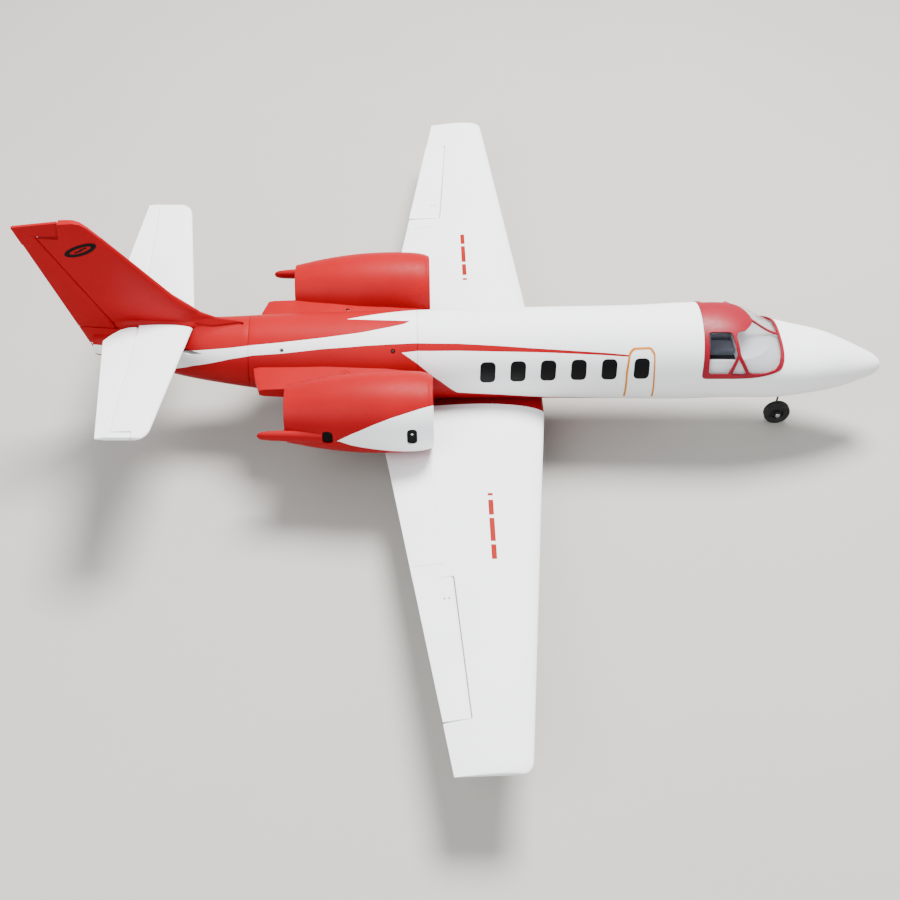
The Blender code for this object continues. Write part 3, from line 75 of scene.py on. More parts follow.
# Fuselage stations: x, top z, bottom z, half width, roundness exponent (2 is an ellipse)
STATIONS = (
    (-0.4735, 0.1480, 0.1180, 0.0150, 2.0),
    (-0.4200, 0.1556, 0.1054, 0.0252, 2.0),
    (-0.3600, 0.1628, 0.0887, 0.0371, 2.0),
    (-0.3000, 0.1645, 0.0771, 0.0438, 2.0),
    (-0.2400, 0.1675, 0.0688, 0.0492, 2.0),
    (-0.1500, 0.1705, 0.0628, 0.0545, 2.0),
    (-0.0500, 0.1740, 0.0612, 0.0578, 2.0),
    (0.1000, 0.1806, 0.0633, 0.0586, 2.0),
    (0.2000, 0.1838, 0.0639, 0.0601, 2.0),
    (0.2800, 0.1880, 0.0662, 0.0611, 2.1),
    (0.3200, 0.1888, 0.0700, 0.0606, 2.2),
    (0.3500, 0.1820, 0.0730, 0.0604, 2.3),
    (0.3850, 0.1600, 0.0768, 0.0590, 2.4),
    (0.4200, 0.1515, 0.0785, 0.0530, 2.4),
    (0.4600, 0.1460, 0.0802, 0.0433, 2.3),
    (0.4900, 0.1366, 0.0834, 0.0330, 2.2),
    (0.5150, 0.1268, 0.0886, 0.0215, 2.1),
    (0.5300, 0.1200, 0.0922, 0.0143, 2.0),
    (0.5380, 0.1136, 0.0988, 0.0075, 2.0),
    (NOSE_X, 0.1078, 0.1048, 0.0015, 2.0),
)
NOSE_CAVITY_END = 0.4650
HATCH_REAR = 0.2890
HATCH_FRONT = 0.3975
HATCH_FLOOR = 0.1332
FRONT_SEAM_X = -0.0680   # joint between the front and rear fuselage mouldings
REAR_SEAM_X = -0.2780    # joint between the rear moulding and the tail section

# Wing: leading and trailing edges are straight in plan
WING_ROOT_Y = 0.0560
WING_LE = ((0.0560, 0.0970), (HALF_SPAN, 0.0405))         # (y, x)
WING_TE = ((0.0560, -0.1185), (HALF_SPAN, -0.0368))
WING_LE_Z = ((0.0560, 0.0665), (HALF_SPAN, 0.0960))       # (y, z)
WING_TE_Z = ((0.0560, 0.0674), (HALF_SPAN, 0.0913))
WING_THICKNESS = 0.115   # of the chord
WING_CAMBER = 0.020      # of the chord
TIP_ROUND = 0.014        # depth in span of the rounded front corner of the tip
AILERON_HINGE = ((0.3400, -0.0344), (0.5260, -0.0203))    # (y, x) of its two ends
TRAIL_HALF = 0.0006      # half thickness of a trailing edge
SADDLE_Z = 0.0757        # flat seat in the fuselage that the belly fairing bolts to
SADDLE_X = (-0.1265, 0.1185)

# Tailplane
STAB_ROOT_Y = 0.0130
STAB_TIP_Y = 0.2225
STAB_LE = ((0.0130, -0.3468), (0.2225, -0.3720))          # (y, x)
STAB_TE = ((0.0280, -0.4530), (0.2225, -0.4290))
STAB_Z = ((0.0130, 0.1672), (0.2225, 0.1850))             # (y, z)
STAB_THICK = ((0.0130, 0.0130), (0.2225, 0.0085))         # (y, thickness)
STAB_HINGE_X = -0.4165
ELEVATOR_ROOT_Y = 0.0165
ELEVATOR_OUTLINE = (     # (y, x of the cut-away root edge, or None on the trailing edge)
    (ELEVATOR_ROOT_Y, -0.4235),
    (0.0200, -0.4335),
    (0.0284, -0.4425),
    (0.0400, None),
    (STAB_TIP_Y, None),
)
HORN_BALANCE_Y = 0.2135
HORN_BALANCE_X = -0.3900

# Fin and rudder
FIN_LE = (               # (z, x), with the dorsal fillet at its foot
    (0.1120, -0.4450),
    (0.1500, -0.4050),
    (0.1600, -0.3300),
    (0.1680, -0.2850),
    (0.1760, -0.3180),
    (0.1840, -0.3360),
    (0.2110, -0.3680),
    (0.2630, -0.4127),
    (0.3185, -0.4610),
)
FIN_TE_BOTTOM = (-0.4740, 0.1165)                         # (x, z)
FIN_TE_TOP = (-0.5415, 0.3085)
FIN_HALF = ((0.1500, 0.0082), (0.3185, 0.0046))           # (z, half thickness)
RUDDER_BOTTOM = (-0.4458, 0.1605)
RUDDER_TOP = (-0.5185, 0.2965)
RUDDER_HORN_X = -0.4900
RUDDER_HORN_GAP = 0.0022  # the horn dips as the rudder turns about its sloping hinge
RUDDER_FOOT_GAP = 0.0014  # and so do the corners of its foot

# Servos and linkages
ARM_LENGTH = 0.0110      # pivot to hole, the same on servo arm and surface horn
LINK_ROD_Y = 0.0020      # the pushrod runs beside the arm and the horn
LINK_INSET = 0.0300      # aileron linkage, from the inboard end of the aileron
AILERON_SERVO_REACH = 0.0560
AILERON_SERVO_DROP = -0.0020
ELEVATOR_SERVO_REACH = 0.1565
ELEVATOR_SERVO_DROP = -0.0270
RUDDER_LINK_Y = 0.0244   # along the hinge from the rudder's foot
RUDDER_SERVO_REACH = 0.0620
RUDDER_SERVO_RISE = 0.0080

# Nacelles and fans (distances run back from the inlet lip)
NACELLE_LIP = (-0.0490, 0.1178, 0.1298)
NACELLE_LENGTH = 0.1780
NACELLE_PITCH = math.radians(2.0)
DUCT_R = 0.0345
HOUSING_SPAN = (0.0305, 0.0775)
FAN_BORE_R = 0.0325
FAN_HUB_R = 0.0158
FAN_STATION = 0.0410
BLADE_COUNT = 8
VANE_COUNT = 5
MOTOR_R = 0.0138
EXHAUST_R = (0.0342, 0.0300)
EXHAUST_WALL = 0.0008

PYLON_Z = 0.1275
PYLON_SECTIONS = (       # (y, front x, rear x, half thickness)
    (0.0300, -0.0530, -0.2740, 0.0115),
    (0.0620, -0.0510, -0.2690, 0.0110),
    (0.0855, -0.0515, -0.2620, 0.0105),
)
PYLON_SHAPE = (          # (share of the chord, share of the half thickness)
    (0.0, 0.10), (0.02, 0.42), (0.08, 0.78), (0.25, 1.0), (0.60, 0.96), (0.97, 0.52), (1.0, 0.36)
)
FAIRING_SECTIONS = (     # outboard tail fairing: (x, offset from the duct axis, half y, half z)
    (-0.0900, 0.0420, 0.0045, 0.0040),
    (-0.1250, 0.0415, 0.0055, 0.0070),
    (-0.1600, 0.0385, 0.0060, 0.0078),
    (-0.1850, 0.0375, 0.0052, 0.0072),
    (-0.2020, 0.0372, 0.0040, 0.0060),
    (-0.2085, 0.0372, 0.0025, 0.0040),
    (-0.2105, 0.0372, 0.0010, 0.0015),
)

# Landing gear
WIRE_R = 0.0016
NOSE_WHEEL = (0.4240, 0.0, 0.0176)
NOSE_MOUNT_TOP = 0.0985
NOSE_MOUNT_HALF = (0.0150, 0.0130)
MAIN_WHEEL = (-0.0500, 0.1150, 0.0240)
MAIN_STRUT_Y = 0.0990
MAIN_LEG_TOP = 0.0740

PYLON_SCREW = (-0.1574, 0.0626, 0.1385)               # (x, y, z) of the pylon's skin under it
RING_PITCH = 0.0080      # distance between the fuselage's skin sections
WELD = 0.00001           # vertices closer than this are one
SIDES = ((1, "left"), (-1, "right"))


# ------------------------------------------------------------------ shader helpers
WHITE = (0.86, 0.87, 0.88)
RED = (0.30, 0.0002, 0.0040)
RED_DEEP = (0.265, 0.0001, 0.0030)
CANOPY_RED = (0.23, 0.0003, 0.0120)
GOLD = (0.52, 0.175, 0.002)
DECAL_BLACK = (0.0015, 0.0015, 0.002)


class Graph:
    """A material with a Principled shader and short calls that add and link its nodes."""

    def __init__(self, name):
        self.material = bpy.data.materials.new(name)
        self.material.use_nodes = True
        self.tree = self.material.node_tree
        self.tree.nodes.clear()
        self.output = self.tree.nodes.new("ShaderNodeOutputMaterial")
        self.shader = self.tree.nodes.new("ShaderNodeBsdfPrincipled")
        self.tree.links.new(self.shader.outputs[0], self.output.inputs[0])
        coordinates = self.tree.nodes.new("ShaderNodeTexCoord")
        self.place = coordinates.outputs["Object"]
        self.axes = None

    def feed(self, socket, value):
        if isinstance(value, bpy.types.NodeSocket):
            self.tree.links.new(value, socket)
        elif value is not None:
            socket.default_value = value

    def xyz(self):
        """The three object coordinates, split once."""
        if self.axes is None:
            split = self.tree.nodes.new("ShaderNodeSeparateXYZ")
            self.feed(split.inputs[0], self.place)
            self.axes = split.outputs
        return self.axes[0], self.axes[1], self.axes[2]

    def math(self, operation, first, second=None, third=None):
        node = self.tree.nodes.new("ShaderNodeMath")
        node.operation = operation
        for socket, value in zip(node.inputs, (first, second, third)):
            self.feed(socket, value)
        return node.outputs[0]

    def spread(self, value, low, high, to_low=0.0, to_high=1.0):
        node = self.tree.nodes.new("ShaderNodeMapRange")
        for socket, item in zip(node.inputs, (value, low, high, to_low, to_high)):
            self.feed(socket, item)
        return node.outputs[0]

    def mix(self, share, first, second):
        node = self.tree.nodes.new("ShaderNodeMix")
        node.data_type = "RGBA"
        self.feed(node.inputs[0], share)
        for socket, value in ((node.inputs[6], first), (node.inputs[7], second)):
            if isinstance(value, tuple):
                value = (*value, 1.0)
            self.feed(socket, value)
        return node.outputs[2]

    def noise(self, scale, detail=2.0, roughness=0.5):
        node = self.tree.nodes.new("ShaderNodeTexNoise")
        self.feed(node.inputs["Vector"], self.place)
        node.inputs["Scale"].default_value = scale
        node.inputs["Detail"].default_value = detail
        node.inputs["Roughness"].default_value = roughness
        return node.outputs[0]

    def cells(self, scale, feature="DISTANCE_TO_EDGE"):
        node = self.tree.nodes.new("ShaderNodeTexVoronoi")
        node.feature = feature
        self.feed(node.inputs["Vector"], self.place)
        node.inputs["Scale"].default_value = scale
        return node.outputs[0]

    def line(self, value, points, top):
        """Straight segments through (x, y) points, held level beyond both ends; y runs to top."""
        low = points[0][0]
        high = points[-1][0]
        node = self.tree.nodes.new("ShaderNodeFloatCurve")
        curve = node.mapping.curves[0]
        scaled = [((x - low) / (high - low), y / top) for x, y in points]
        curve.points[0].location = scaled[0]
        curve.points[-1].location = scaled[-1]
        for place in scaled[1:-1]:
            curve.points.new(*place)
        for point in curve.points:
            point.handle_type = "VECTOR"
        node.mapping.update()
        self.feed(node.inputs[1], self.spread(value, low, high))
        return self.math("MULTIPLY", node.outputs[0], top)

    def more(self, first, second):
        return self.math("GREATER_THAN", first, second)

    def less(self, first, second):
        return self.math("LESS_THAN", first, second)

    def minus(self, first, second):
        return self.math("SUBTRACT", first, second)

    def degrees(self, across, up):
        """Angle in degrees of a direction, turned from up towards across."""
        return self.math("MULTIPLY", self.math("ARCTAN2", across, up), 180.0 / math.pi)

    def both(self, first, second):
        return self.math("MULTIPLY", first, second)

    def either(self, first, second):
        return self.math("MAXIMUM", first, second)

    def bump(self, height, distance, strength=1.0, below=None):
        node = self.tree.nodes.new("ShaderNodeBump")
        node.inputs["Strength"].default_value = strength
        node.inputs["Distance"].default_value = distance
        self.feed(node.inputs["Height"], height)
        if below is not None:
            self.feed(node.inputs["Normal"], below)
        return node.outputs[0]

    def finish(self, color, roughness, normal=None, **fixed):
        self.feed(self.shader.inputs["Base Color"], color)
        self.feed(self.shader.inputs["Roughness"], roughness)
        if normal is not None:
            self.feed(self.shader.inputs["Normal"], normal)
        for name, value in fixed.items():
            self.shader.inputs[name.replace("_", " ")].default_value = value
        return self.material


def foam_surface(graph, red_share):
    """Painted bead foam: faint cell pattern, orange peel and slight unevenness of the paint."""
    beads = graph.spread(graph.cells(360.0), 0.0, 0.10)
    bumps = graph.bump(beads, 0.00010, 0.30)
    peel = graph.bump(graph.noise(700.0, 3.0), 0.00012, 0.22, bumps)
    broad = graph.noise(14.0, 3.0)
    fine = graph.noise(160.0, 2.0)
    red = graph.mix(graph.spread(broad, 0.35, 0.65), RED_DEEP, RED)
    white = graph.mix(graph.spread(broad, 0.30, 0.70), (0.83, 0.84, 0.86), WHITE)
    seams = graph.spread(beads, 0.0, 1.0, 0.985, 1.0)
    paint = graph.mix(red_share, white, red)
    shade = graph.tree.nodes.new("ShaderNodeMix")
    shade.data_type = "RGBA"
    shade.blend_type = "MULTIPLY"
    shade.inputs[0].default_value = 1.0
    graph.feed(shade.inputs[6], paint)
    graph.feed(shade.inputs[7], graph.mix(seams, (0.90, 0.90, 0.90), (1.0, 1.0, 1.0)))
    uneven = graph.math("ADD", fine, graph.math("MULTIPLY", red_share, -0.25))
    sheen = graph.spread(uneven, 0.0, 1.0, 0.42, 0.60)
    return graph.finish(shade.outputs[2], sheen, peel, Specular_IOR_Level=0.10)


def girth_angle(graph):
    """Angle in degrees down from the top of the fuselage, the same on both sides."""
    x, y, z = graph.xyz()
    middles = [(row[0], (row[1] + row[2]) / 2) for row in STATIONS]
    centre = graph.line(x, middles, 0.2)
    return graph.degrees(graph.math("ABSOLUTE", y), graph.minus(z, centre))


# Edges of the paint scheme: (x, degrees down from the top); the far side has its own upper edges
DORSAL_EDGE = ((-0.3740, 60.0), (-0.3574, 55.9), (-0.3002, 44.4), (-0.2717, 38.9), (-0.2338, 33.6),
               (-0.1865, 27.0), (-0.1353, 18.8), (-0.1011, 10.8), (-0.0839, 5.9), (-0.0760, 0.0))
FAR_DORSAL_EDGE = ((-0.1560, 5.5), (-0.0840, 0.0))
SIDE_TOP = ((-0.3900, 112.0), (-0.3695, 98.5), (-0.3478, 83.6), (-0.3004, 62.6), (-0.2717, 54.6),
            (-0.2337, 49.5), (-0.1863, 42.6), (-0.1351, 37.9), (-0.1010, 36.0), (-0.0691, 34.7),
            (-0.0175, 36.0), (0.0340, 39.6), (0.0814, 43.6), (0.1372, 47.6), (0.1682, 49.7),
            (0.1950, 52.2), (0.1966, 53.3))
FAR_SIDE_TOP = ((-0.1560, 5.5), (-0.0660, 34.7), (-0.0175, 36.0), (0.0340, 39.6), (0.0814, 43.6),
                (0.1372, 47.6), (0.1682, 49.7), (0.1950, 52.2), (0.1966, 53.3))
PANEL_TOP = ((-0.0874, 47.0), (-0.0679, 44.8), (-0.0175, 45.1), (0.0340, 46.8), (0.0814, 48.3),
             (0.1373, 51.0), (0.1682, 52.6), (0.1950, 54.4), (0.1966, 53.3))
PANEL_FOOT = ((-0.0874, 47.0), (-0.0678, 60.6), (-0.0500, 75.9), (-0.0373, 85.8), (-0.0167, 105.8),
              (0.0374, 112.8), (0.0981, 125.0), (0.1454, 127.3), (0.1979, 133.2), (0.2400, 146.0),
              (0.2900, 180.0))


def livery_mask(graph):
    """1 where the fuselage is red, 0 where it is white."""
    x, y, _ = graph.xyz()
    angle = girth_angle(graph)
    far = graph.more(y, 0.0)

    def edge(points):
        return graph.line(x, points, 180.0)

    def sided_edge(near_points, far_points):
        near = edge(near_points)
        return graph.math("ADD", near, graph.both(far, graph.minus(edge(far_points), near)))

    dorsal = graph.less(angle, sided_edge(DORSAL_EDGE, FAR_DORSAL_EDGE))
    beside = graph.more(angle, sided_edge(SIDE_TOP, FAR_SIDE_TOP))
    stripe = graph.both(beside, graph.less(angle, edge(PANEL_TOP)))
    belly = graph.both(beside, graph.more(angle, edge(PANEL_FOOT)))
    return graph.either(dorsal, graph.either(stripe, belly))


def fuselage_paint():
    graph = Graph("fuselage_paint")
    return foam_surface(graph, livery_mask(graph))


# Edges of the white nacelle panel: (distance behind the lip, degrees outboard of the top)
NACELLE_PANEL_TOP = ((0.0, 37.0), (0.0144, 41.8), (0.0321, 48.0), (0.0522, 55.0), (0.0736, 64.5),
                     (0.0977, 78.0), (0.1150, 91.5))
NACELLE_PANEL_FOOT = ((0.0, 135.0), (0.0336, 122.2), (0.0539, 114.9), (0.0752, 107.9), (0.0987, 100.1),
                      (0.1150, 91.5))


def nacelle_paint(side):
    """Red with the white panel on the outboard side of the inlet."""
    graph = Graph(f"nacelle_paint_{'left' if side > 0 else 'right'}")
    x, y, z = graph.xyz()
    back = graph.minus(NACELLE_LIP[0], x)
    axis_z = graph.minus(NACELLE_LIP[2], graph.math("MULTIPLY", back, math.tan(NACELLE_PITCH)))
    out = graph.math("MULTIPLY", graph.minus(y, side * NACELLE_LIP[1]), float(side))
    angle = graph.degrees(out, graph.minus(z, axis_z))
    below = graph.more(angle, graph.line(back, NACELLE_PANEL_TOP, 180.0))
    above = graph.less(angle, graph.line(back, NACELLE_PANEL_FOOT, 180.0))
    return foam_surface(graph, graph.minus(1.0, graph.both(below, above)))


def plain_foam(name, red):
    graph = Graph(name)
    return foam_surface(graph, red)


def plastic(name, color, roughness, grain=0.00003, variation=0.06, **fixed):
    """Moulded plastic or paint with a fine grain and a little unevenness."""
    graph = Graph(name)
    broad = graph.noise(55.0, 3.0)
    dark = tuple(channel * (1.0 - variation) for channel in color)
    light = tuple(min(1.0, channel * (1.0 + variation)) for channel in color)
    tint = graph.mix(graph.spread(broad, 0.3, 0.7), dark, light)
    rough = graph.spread(graph.noise(240.0, 2.0), 0.3, 0.7, roughness * 0.88, min(1.0, roughness * 1.12))
    return graph.finish(tint, rough, graph.bump(graph.noise(1400.0, 2.0), grain, 0.5), **fixed)


def dull_plastic(name, color, roughness, grain, variation, mirror):
    """Plastic whose mirror reflection is held back."""
    return plastic(name, color, roughness, grain, variation, Specular_IOR_Level=mirror)


def metal(name, color, roughness):
    """Drawn or turned metal with fine streaks."""
    graph = Graph(name)
    stretch = graph.tree.nodes.new("ShaderNodeMapping")
    stretch.inputs["Scale"].default_value = (400.0, 400.0, 40.0)
    graph.feed(stretch.inputs["Vector"], graph.place)
    streaks = graph.tree.nodes.new("ShaderNodeTexNoise")
    streaks.inputs["Scale"].default_value = 4.0
    graph.feed(streaks.inputs["Vector"], stretch.outputs[0])
    dark = tuple(channel * 0.82 for channel in color)
    tint = graph.mix(streaks.outputs[0], dark, color)
    rough = graph.spread(streaks.outputs[0], 0.3, 0.7, roughness * 0.8, roughness * 1.2)
    return graph.finish(tint, rough, graph.bump(streaks.outputs[0], 0.00002, 0.4), Metallic=1.0)


def tyre_foam():
    """Black foam rubber: porous, dull, with dust on it."""
    graph = Graph("tyre_foam")
    pores = graph.spread(graph.cells(1500.0, "F1"), 0.0, 0.7)
    dust = graph.spread(graph.noise(120.0, 4.0), 0.50, 0.75)
    tint = graph.mix(dust, (0.004, 0.004, 0.004), (0.014, 0.0135, 0.013))
    return graph.finish(tint, graph.spread(pores, 0.0, 1.0, 0.70, 0.92), graph.bump(pores, 0.00015, 0.6))


def clear_plastic():
    graph = Graph("clear_plastic")
    rough = graph.spread(graph.noise(30.0, 3.0), 0.4, 0.7, 0.02, 0.06)
    faint = graph.bump(graph.noise(25.0, 2.0), 0.0004, 0.25)
    tint = graph.mix(graph.noise(20.0), (0.96, 0.97, 0.99), (1.0, 1.0, 1.0))
    return graph.finish(tint, rough, faint, Transmission_Weight=1.0, IOR=1.10, Specular_IOR_Level=0.8)


def floor_material():
    graph = Graph("studio_floor")
    tint = graph.mix(graph.noise(3.0, 4.0), (0.360, 0.345, 0.315), (0.385, 0.370, 0.340))
    return graph.finish(tint, 0.75, graph.bump(graph.noise(300.0, 3.0), 0.0004, 0.15))


LOOKS = {
    "fuselage": fuselage_paint(),
    "nacelle_left": nacelle_paint(1),
    "nacelle_right": nacelle_paint(-1),
    "white_foam": plain_foam("white_foam_paint", 0.0),
    "red_foam": plain_foam("red_foam_paint", 1.0),
    "red_plastic": dull_plastic("canopy_red", CANOPY_RED, 0.42, 0.00002, 0.04, 0.22),
    "clear": clear_plastic(),
    "window_black": dull_plastic("window_black", DECAL_BLACK, 0.38, 0.00001, 0.10, 0.12),
    "door_gold": dull_plastic("door_gold", GOLD, 0.50, 0.00001, 0.08, 0.10),
    "mark_red": dull_plastic("mark_red", (0.26, 0.004, 0.001), 0.55, 0.00001, 0.08, 0.10),
    "badge_black": dull_plastic("badge_black", DECAL_BLACK, 0.50, 0.00001, 0.10, 0.10),
    "vent_black": dull_plastic("vent_black", (0.0015, 0.0015, 0.0015), 0.60, 0.00003, 0.12, 0.08),
    "black_plastic": plastic("black_nylon", (0.010, 0.010, 0.011), 0.42, 0.00004, 0.12),
    "white_plastic": plastic("white_nylon", (0.76, 0.76, 0.74), 0.36, 0.00003, 0.04),
    "grey_plastic": plastic("seat_grey", (0.115, 0.130, 0.165), 0.50, 0.00006, 0.10),
    # Near-black floor of the cockpit well: partly its own dark colour, partly painted shade for the shadow
    # deep in the well.
    "well_floor_black_and_painted_shade": plastic("well_floor_black_and_painted_shade", (0.006, 0.006, 0.009), 0.60, 0.00006, 0.10),
    "battery": plastic("battery_wrap", (0.03, 0.09, 0.38), 0.30, 0.00003, 0.10),
    "circuit": plastic("circuit_case", (0.05, 0.05, 0.055), 0.40, 0.00004, 0.15),
    "carbon": plastic("carbon_tube", (0.03, 0.03, 0.032), 0.28, 0.00003, 0.25),
    "tyre": tyre_foam(),
    "wire": metal("music_wire", (0.62, 0.62, 0.64), 0.24),
    "motor": metal("motor_can", (0.56, 0.56, 0.60), 0.30),
    "screw": metal("screw_steel", (0.060, 0.058, 0.058), 0.40),
}


# ------------------------------------------------------------------ mesh helpers
def object_from_bmesh(name, bm, matrix=None):
    """Wrap a closed bmesh in an object whose faces point outwards, in the model's frame."""
    if matrix is not None:
        bmesh.ops.transform(bm, matrix=matrix, verts=bm.verts)
    bmesh.ops.recalc_face_normals(bm, faces=bm.faces)
    mesh = bpy.data.meshes.new(name)
    bm.to_mesh(mesh)
    bm.free()
    item = bpy.data.objects.new(name, mesh)
    bpy.context.scene.collection.objects.link(item)
    return item


def piece(item, name, look, body, slot, *nodes, smooth_angle=35.0):
    """Finish a visible piece: name, material, shading, the body it rides on and what it replaces."""
    item.name = name
    item.data.name = name
    item.data.materials.clear()
    item.data.materials.append(LOOKS[look])
    item.data.shade_smooth()
    item.data.set_sharp_from_angle(angle=math.radians(smooth_angle))
    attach(item, body)
    if nodes:
        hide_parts(*nodes)
    return item


def boolean(item, tool, operation):
    modifier = item.modifiers.new(operation.lower(), "BOOLEAN")
    modifier.operation = operation
    modifier.solver = "EXACT"
    modifier.object = tool
    bpy.context.view_layer.update()
    graph = bpy.context.evaluated_depsgraph_get()
    mesh = bpy.data.meshes.new_from_object(item.evaluated_get(graph))
    item.modifiers.clear()
    item.data = mesh
    bpy.data.objects.remove(tool, do_unlink=True)
    return item


def cut(item, *tools):
    for tool in tools:
        boolean(item, tool, "DIFFERENCE")
    return item


def join(item, *tools):
    for tool in tools:
        boolean(item, tool, "UNION")
    return item


def gather(name, items):
    """Put separate closed solids into one mesh object."""
    bm = bmesh.new()
    for item in items:
        bm.from_mesh(item.data)
        bpy.data.objects.remove(item, do_unlink=True)
    return object_from_bmesh(name, bm)


def loft(name, rings, matrix=None):
    """Skin a list of equal-length rings and close both ends."""
    bm = bmesh.new()
    rows = [[bm.verts.new(point) for point in ring] for ring in rings]
    count = len(rows[0])
    for first, second in zip(rows, rows[1:]):
        for i in range(count):
            j = (i + 1) % count
            bm.faces.new((first[i], first[j], second[j], second[i]))
    bm.faces.new(rows[0])
    bm.faces.new(rows[-1])
    return object_from_bmesh(name, bm, matrix)


def shell_loft(name, outer, inner, inner_closed):
    """Skin an outer and an inner ring list that share their first end.

    With inner_closed the cavity ends inside the solid; otherwise it runs right through.
    """
    bm = bmesh.new()
    out_rows = [[bm.verts.new(point) for point in ring] for ring in outer]
    in_rows = [[bm.verts.new(point) for point in ring] for ring in inner]
    count = len(out_rows[0])

    def strip(first, second):
        for i in range(count):
            j = (i + 1) % count
            bm.faces.new((first[i], first[j], second[j], second[i]))

    for rows in (out_rows, in_rows):
        for first, second in zip(rows, rows[1:]):
            strip(first, second)
    strip(out_rows[0], in_rows[0])
    if inner_closed:
        bm.faces.new(out_rows[-1])
        bm.faces.new(in_rows[-1])
    else:
        strip(out_rows[-1], in_rows[-1])
    return object_from_bmesh(name, bm)


def box(name, low, high, matrix=None, bevel=0.0, segments=3):
    """Block between two corners, with optional rounded edges."""
    bm = bmesh.new()
    bmesh.ops.create_cube(bm, size=1.0)
    low = Vector(low)
    high = Vector(high)
    for vert in bm.verts:
        vert.co = Vector((low[i] + (vert.co[i] + 0.5) * (high[i] - low[i]) for i in range(3)))
    if bevel > 0.0:
        bmesh.ops.bevel(bm, geom=bm.edges[:], offset=bevel, segments=segments, affect="EDGES", profile=0.6)
    return object_from_bmesh(name, bm, matrix)


def cylinder(name, radius, start, end, sides=32, matrix=None):
    """Round bar between two points."""
    start = Vector(start)
    end = Vector(end)
    axis = end - start
    bm = bmesh.new()
    size = {"radius1": radius, "radius2": radius, "depth": axis.length}
    bmesh.ops.create_cone(bm, cap_ends=True, segments=sides, **size)
    turn = Vector((0, 0, 1)).rotation_difference(axis).to_matrix().to_4x4()
    bmesh.ops.transform(bm, matrix=Matrix.Translation((start + end) / 2) @ turn, verts=bm.verts)
    return object_from_bmesh(name, bm, matrix)


def turned(name, profile, sides=96, matrix=None, axis="X"):
    """Solid of revolution about the X, Y or Z axis from a closed profile of (along, radius)."""
    bm = bmesh.new()
    rows = []
    for step in range(sides):
        angle = 2 * math.pi * step / sides
        row = []
        for along, radius in profile:
            a = radius * math.cos(angle)
            b = radius * math.sin(angle)
            point = {"X": (along, a, b), "Y": (a, along, b), "Z": (a, b, along)}[axis]
            row.append(bm.verts.new(point))
        rows.append(row)
    count = len(profile)
    for step in range(sides):
        first = rows[step]
        second = rows[(step + 1) % sides]
        for i in range(count):
            j = (i + 1) % count
            bm.faces.new((first[i], first[j], second[j], second[i]))
    bmesh.ops.remove_doubles(bm, verts=bm.verts, dist=WELD)
    bmesh.ops.dissolve_degenerate(bm, edges=bm.edges, dist=WELD)
    return object_from_bmesh(name, bm, matrix)


def prism(name, outline, low, high, plane="XZ", matrix=None):
    """Straight extrusion of an outline between two depths along the normal of its plane."""
    rings = []
    for depth in (low, high):
        if plane == "XZ":
            rings.append([(a, depth, b) for a, b in outline])
        else:
            rings.append([(a, b, depth) for a, b in outline])
    return loft(name, rings, matrix)


def wire(name, points, radius, bend=0.0, resolution=5):
    """Bent round wire; corners are eased over the given distance."""
    path = eased(points, bend) if bend > 0.0 else points
    curve = bpy.data.curves.new(name, "CURVE")
    curve.dimensions = "3D"
    curve.bevel_depth = radius
    curve.bevel_resolution = resolution
    curve.use_fill_caps = True
    spline = curve.splines.new("POLY")
    spline.points.add(len(path) - 1)
    for target, point in zip(spline.points, path):
        target.co = (*point, 1.0)
    item = bpy.data.objects.new(name, curve)
    bpy.context.scene.collection.objects.link(item)
    bpy.context.view_layer.update()
    graph = bpy.context.evaluated_depsgraph_get()
    mesh = bpy.data.meshes.new_from_object(item.evaluated_get(graph))
    bpy.data.objects.remove(item, do_unlink=True)
    bm = bmesh.new()
    bm.from_mesh(mesh)
    bmesh.ops.remove_doubles(bm, verts=bm.verts, dist=WELD)
    return object_from_bmesh(name, bm)


def eased(points, reach, steps=6):
    """Replace each inner corner of an open path by a short curve."""
    points = [Vector(point) for point in points]
    result = [points[0]]
    for before, here, after in zip(points, points[1:], points[2:]):
        back = min(reach, (before - here).length * 0.45)
        ahead = min(reach, (after - here).length * 0.45)
        start = here + (before - here).normalized() * back
        end = here + (after - here).normalized() * ahead
        for step in range(steps + 1):
            t = step / steps
            result.append(start * (1 - t) ** 2 + here * 2 * t * (1 - t) + end * t ** 2)
    result.append(points[-1])
    return result


def rounded_outline(points, radius, steps=6):
    """Round every corner of a closed polygon with a short curve."""
    result = []
    count = len(points)
    for i, point in enumerate(points):
        here = Vector(point)
        back = Vector(points[i - 1]) - here
        ahead = Vector(points[(i + 1) % count]) - here
        reach_back = min(radius, back.length * 0.48)
        reach_ahead = min(radius, ahead.length * 0.48)
        start = here + back.normalized() * reach_back
        end = here + ahead.normalized() * reach_ahead
        for step in range(steps + 1):
            t = step / steps
            blend = start * (1 - t) ** 2 + here * 2 * t * (1 - t) + end * t ** 2
            result.append((blend.x, blend.y))
    return result


def smooth_line(points, steps=8):
    """Catmull-Rom curve through an open list of points."""
    points = [Vector(point) for point in points]
    ends = [points[0] * 2 - points[1]] + points + [points[-1] * 2 - points[-2]]
    result = []
    for a, b, c, d in zip(ends, ends[1:], ends[2:], ends[3:]):
        for step in range(steps):
            t = step / steps
            square = (2 * a - 5 * b + 4 * c - d) * t ** 2
            cube = (3 * b - a - 3 * c + d) * t ** 3
            result.append(0.5 * (2 * b + (c - a) * t + square + cube))
    result.append(points[-1])
    return result


def line_at(line, value):
    """Read a straight line given by two (key, value) points."""
    (k0, v0), (k1, v1) = line
    return v0 + (v1 - v0) * (value - k0) / (k1 - k0)


def spaced(start, end, pitch):
    count = max(1, round(abs(end - start) / pitch))
    return [start + (end - start) * i / count for i in range(count + 1)]


# ------------------------------------------------------------------ fuselage
EDGE_EASE = ((0.0, 0.0003), (0.0002, 0.0001), (0.0006, 0.0))   # (distance from a seam, dip of the skin)


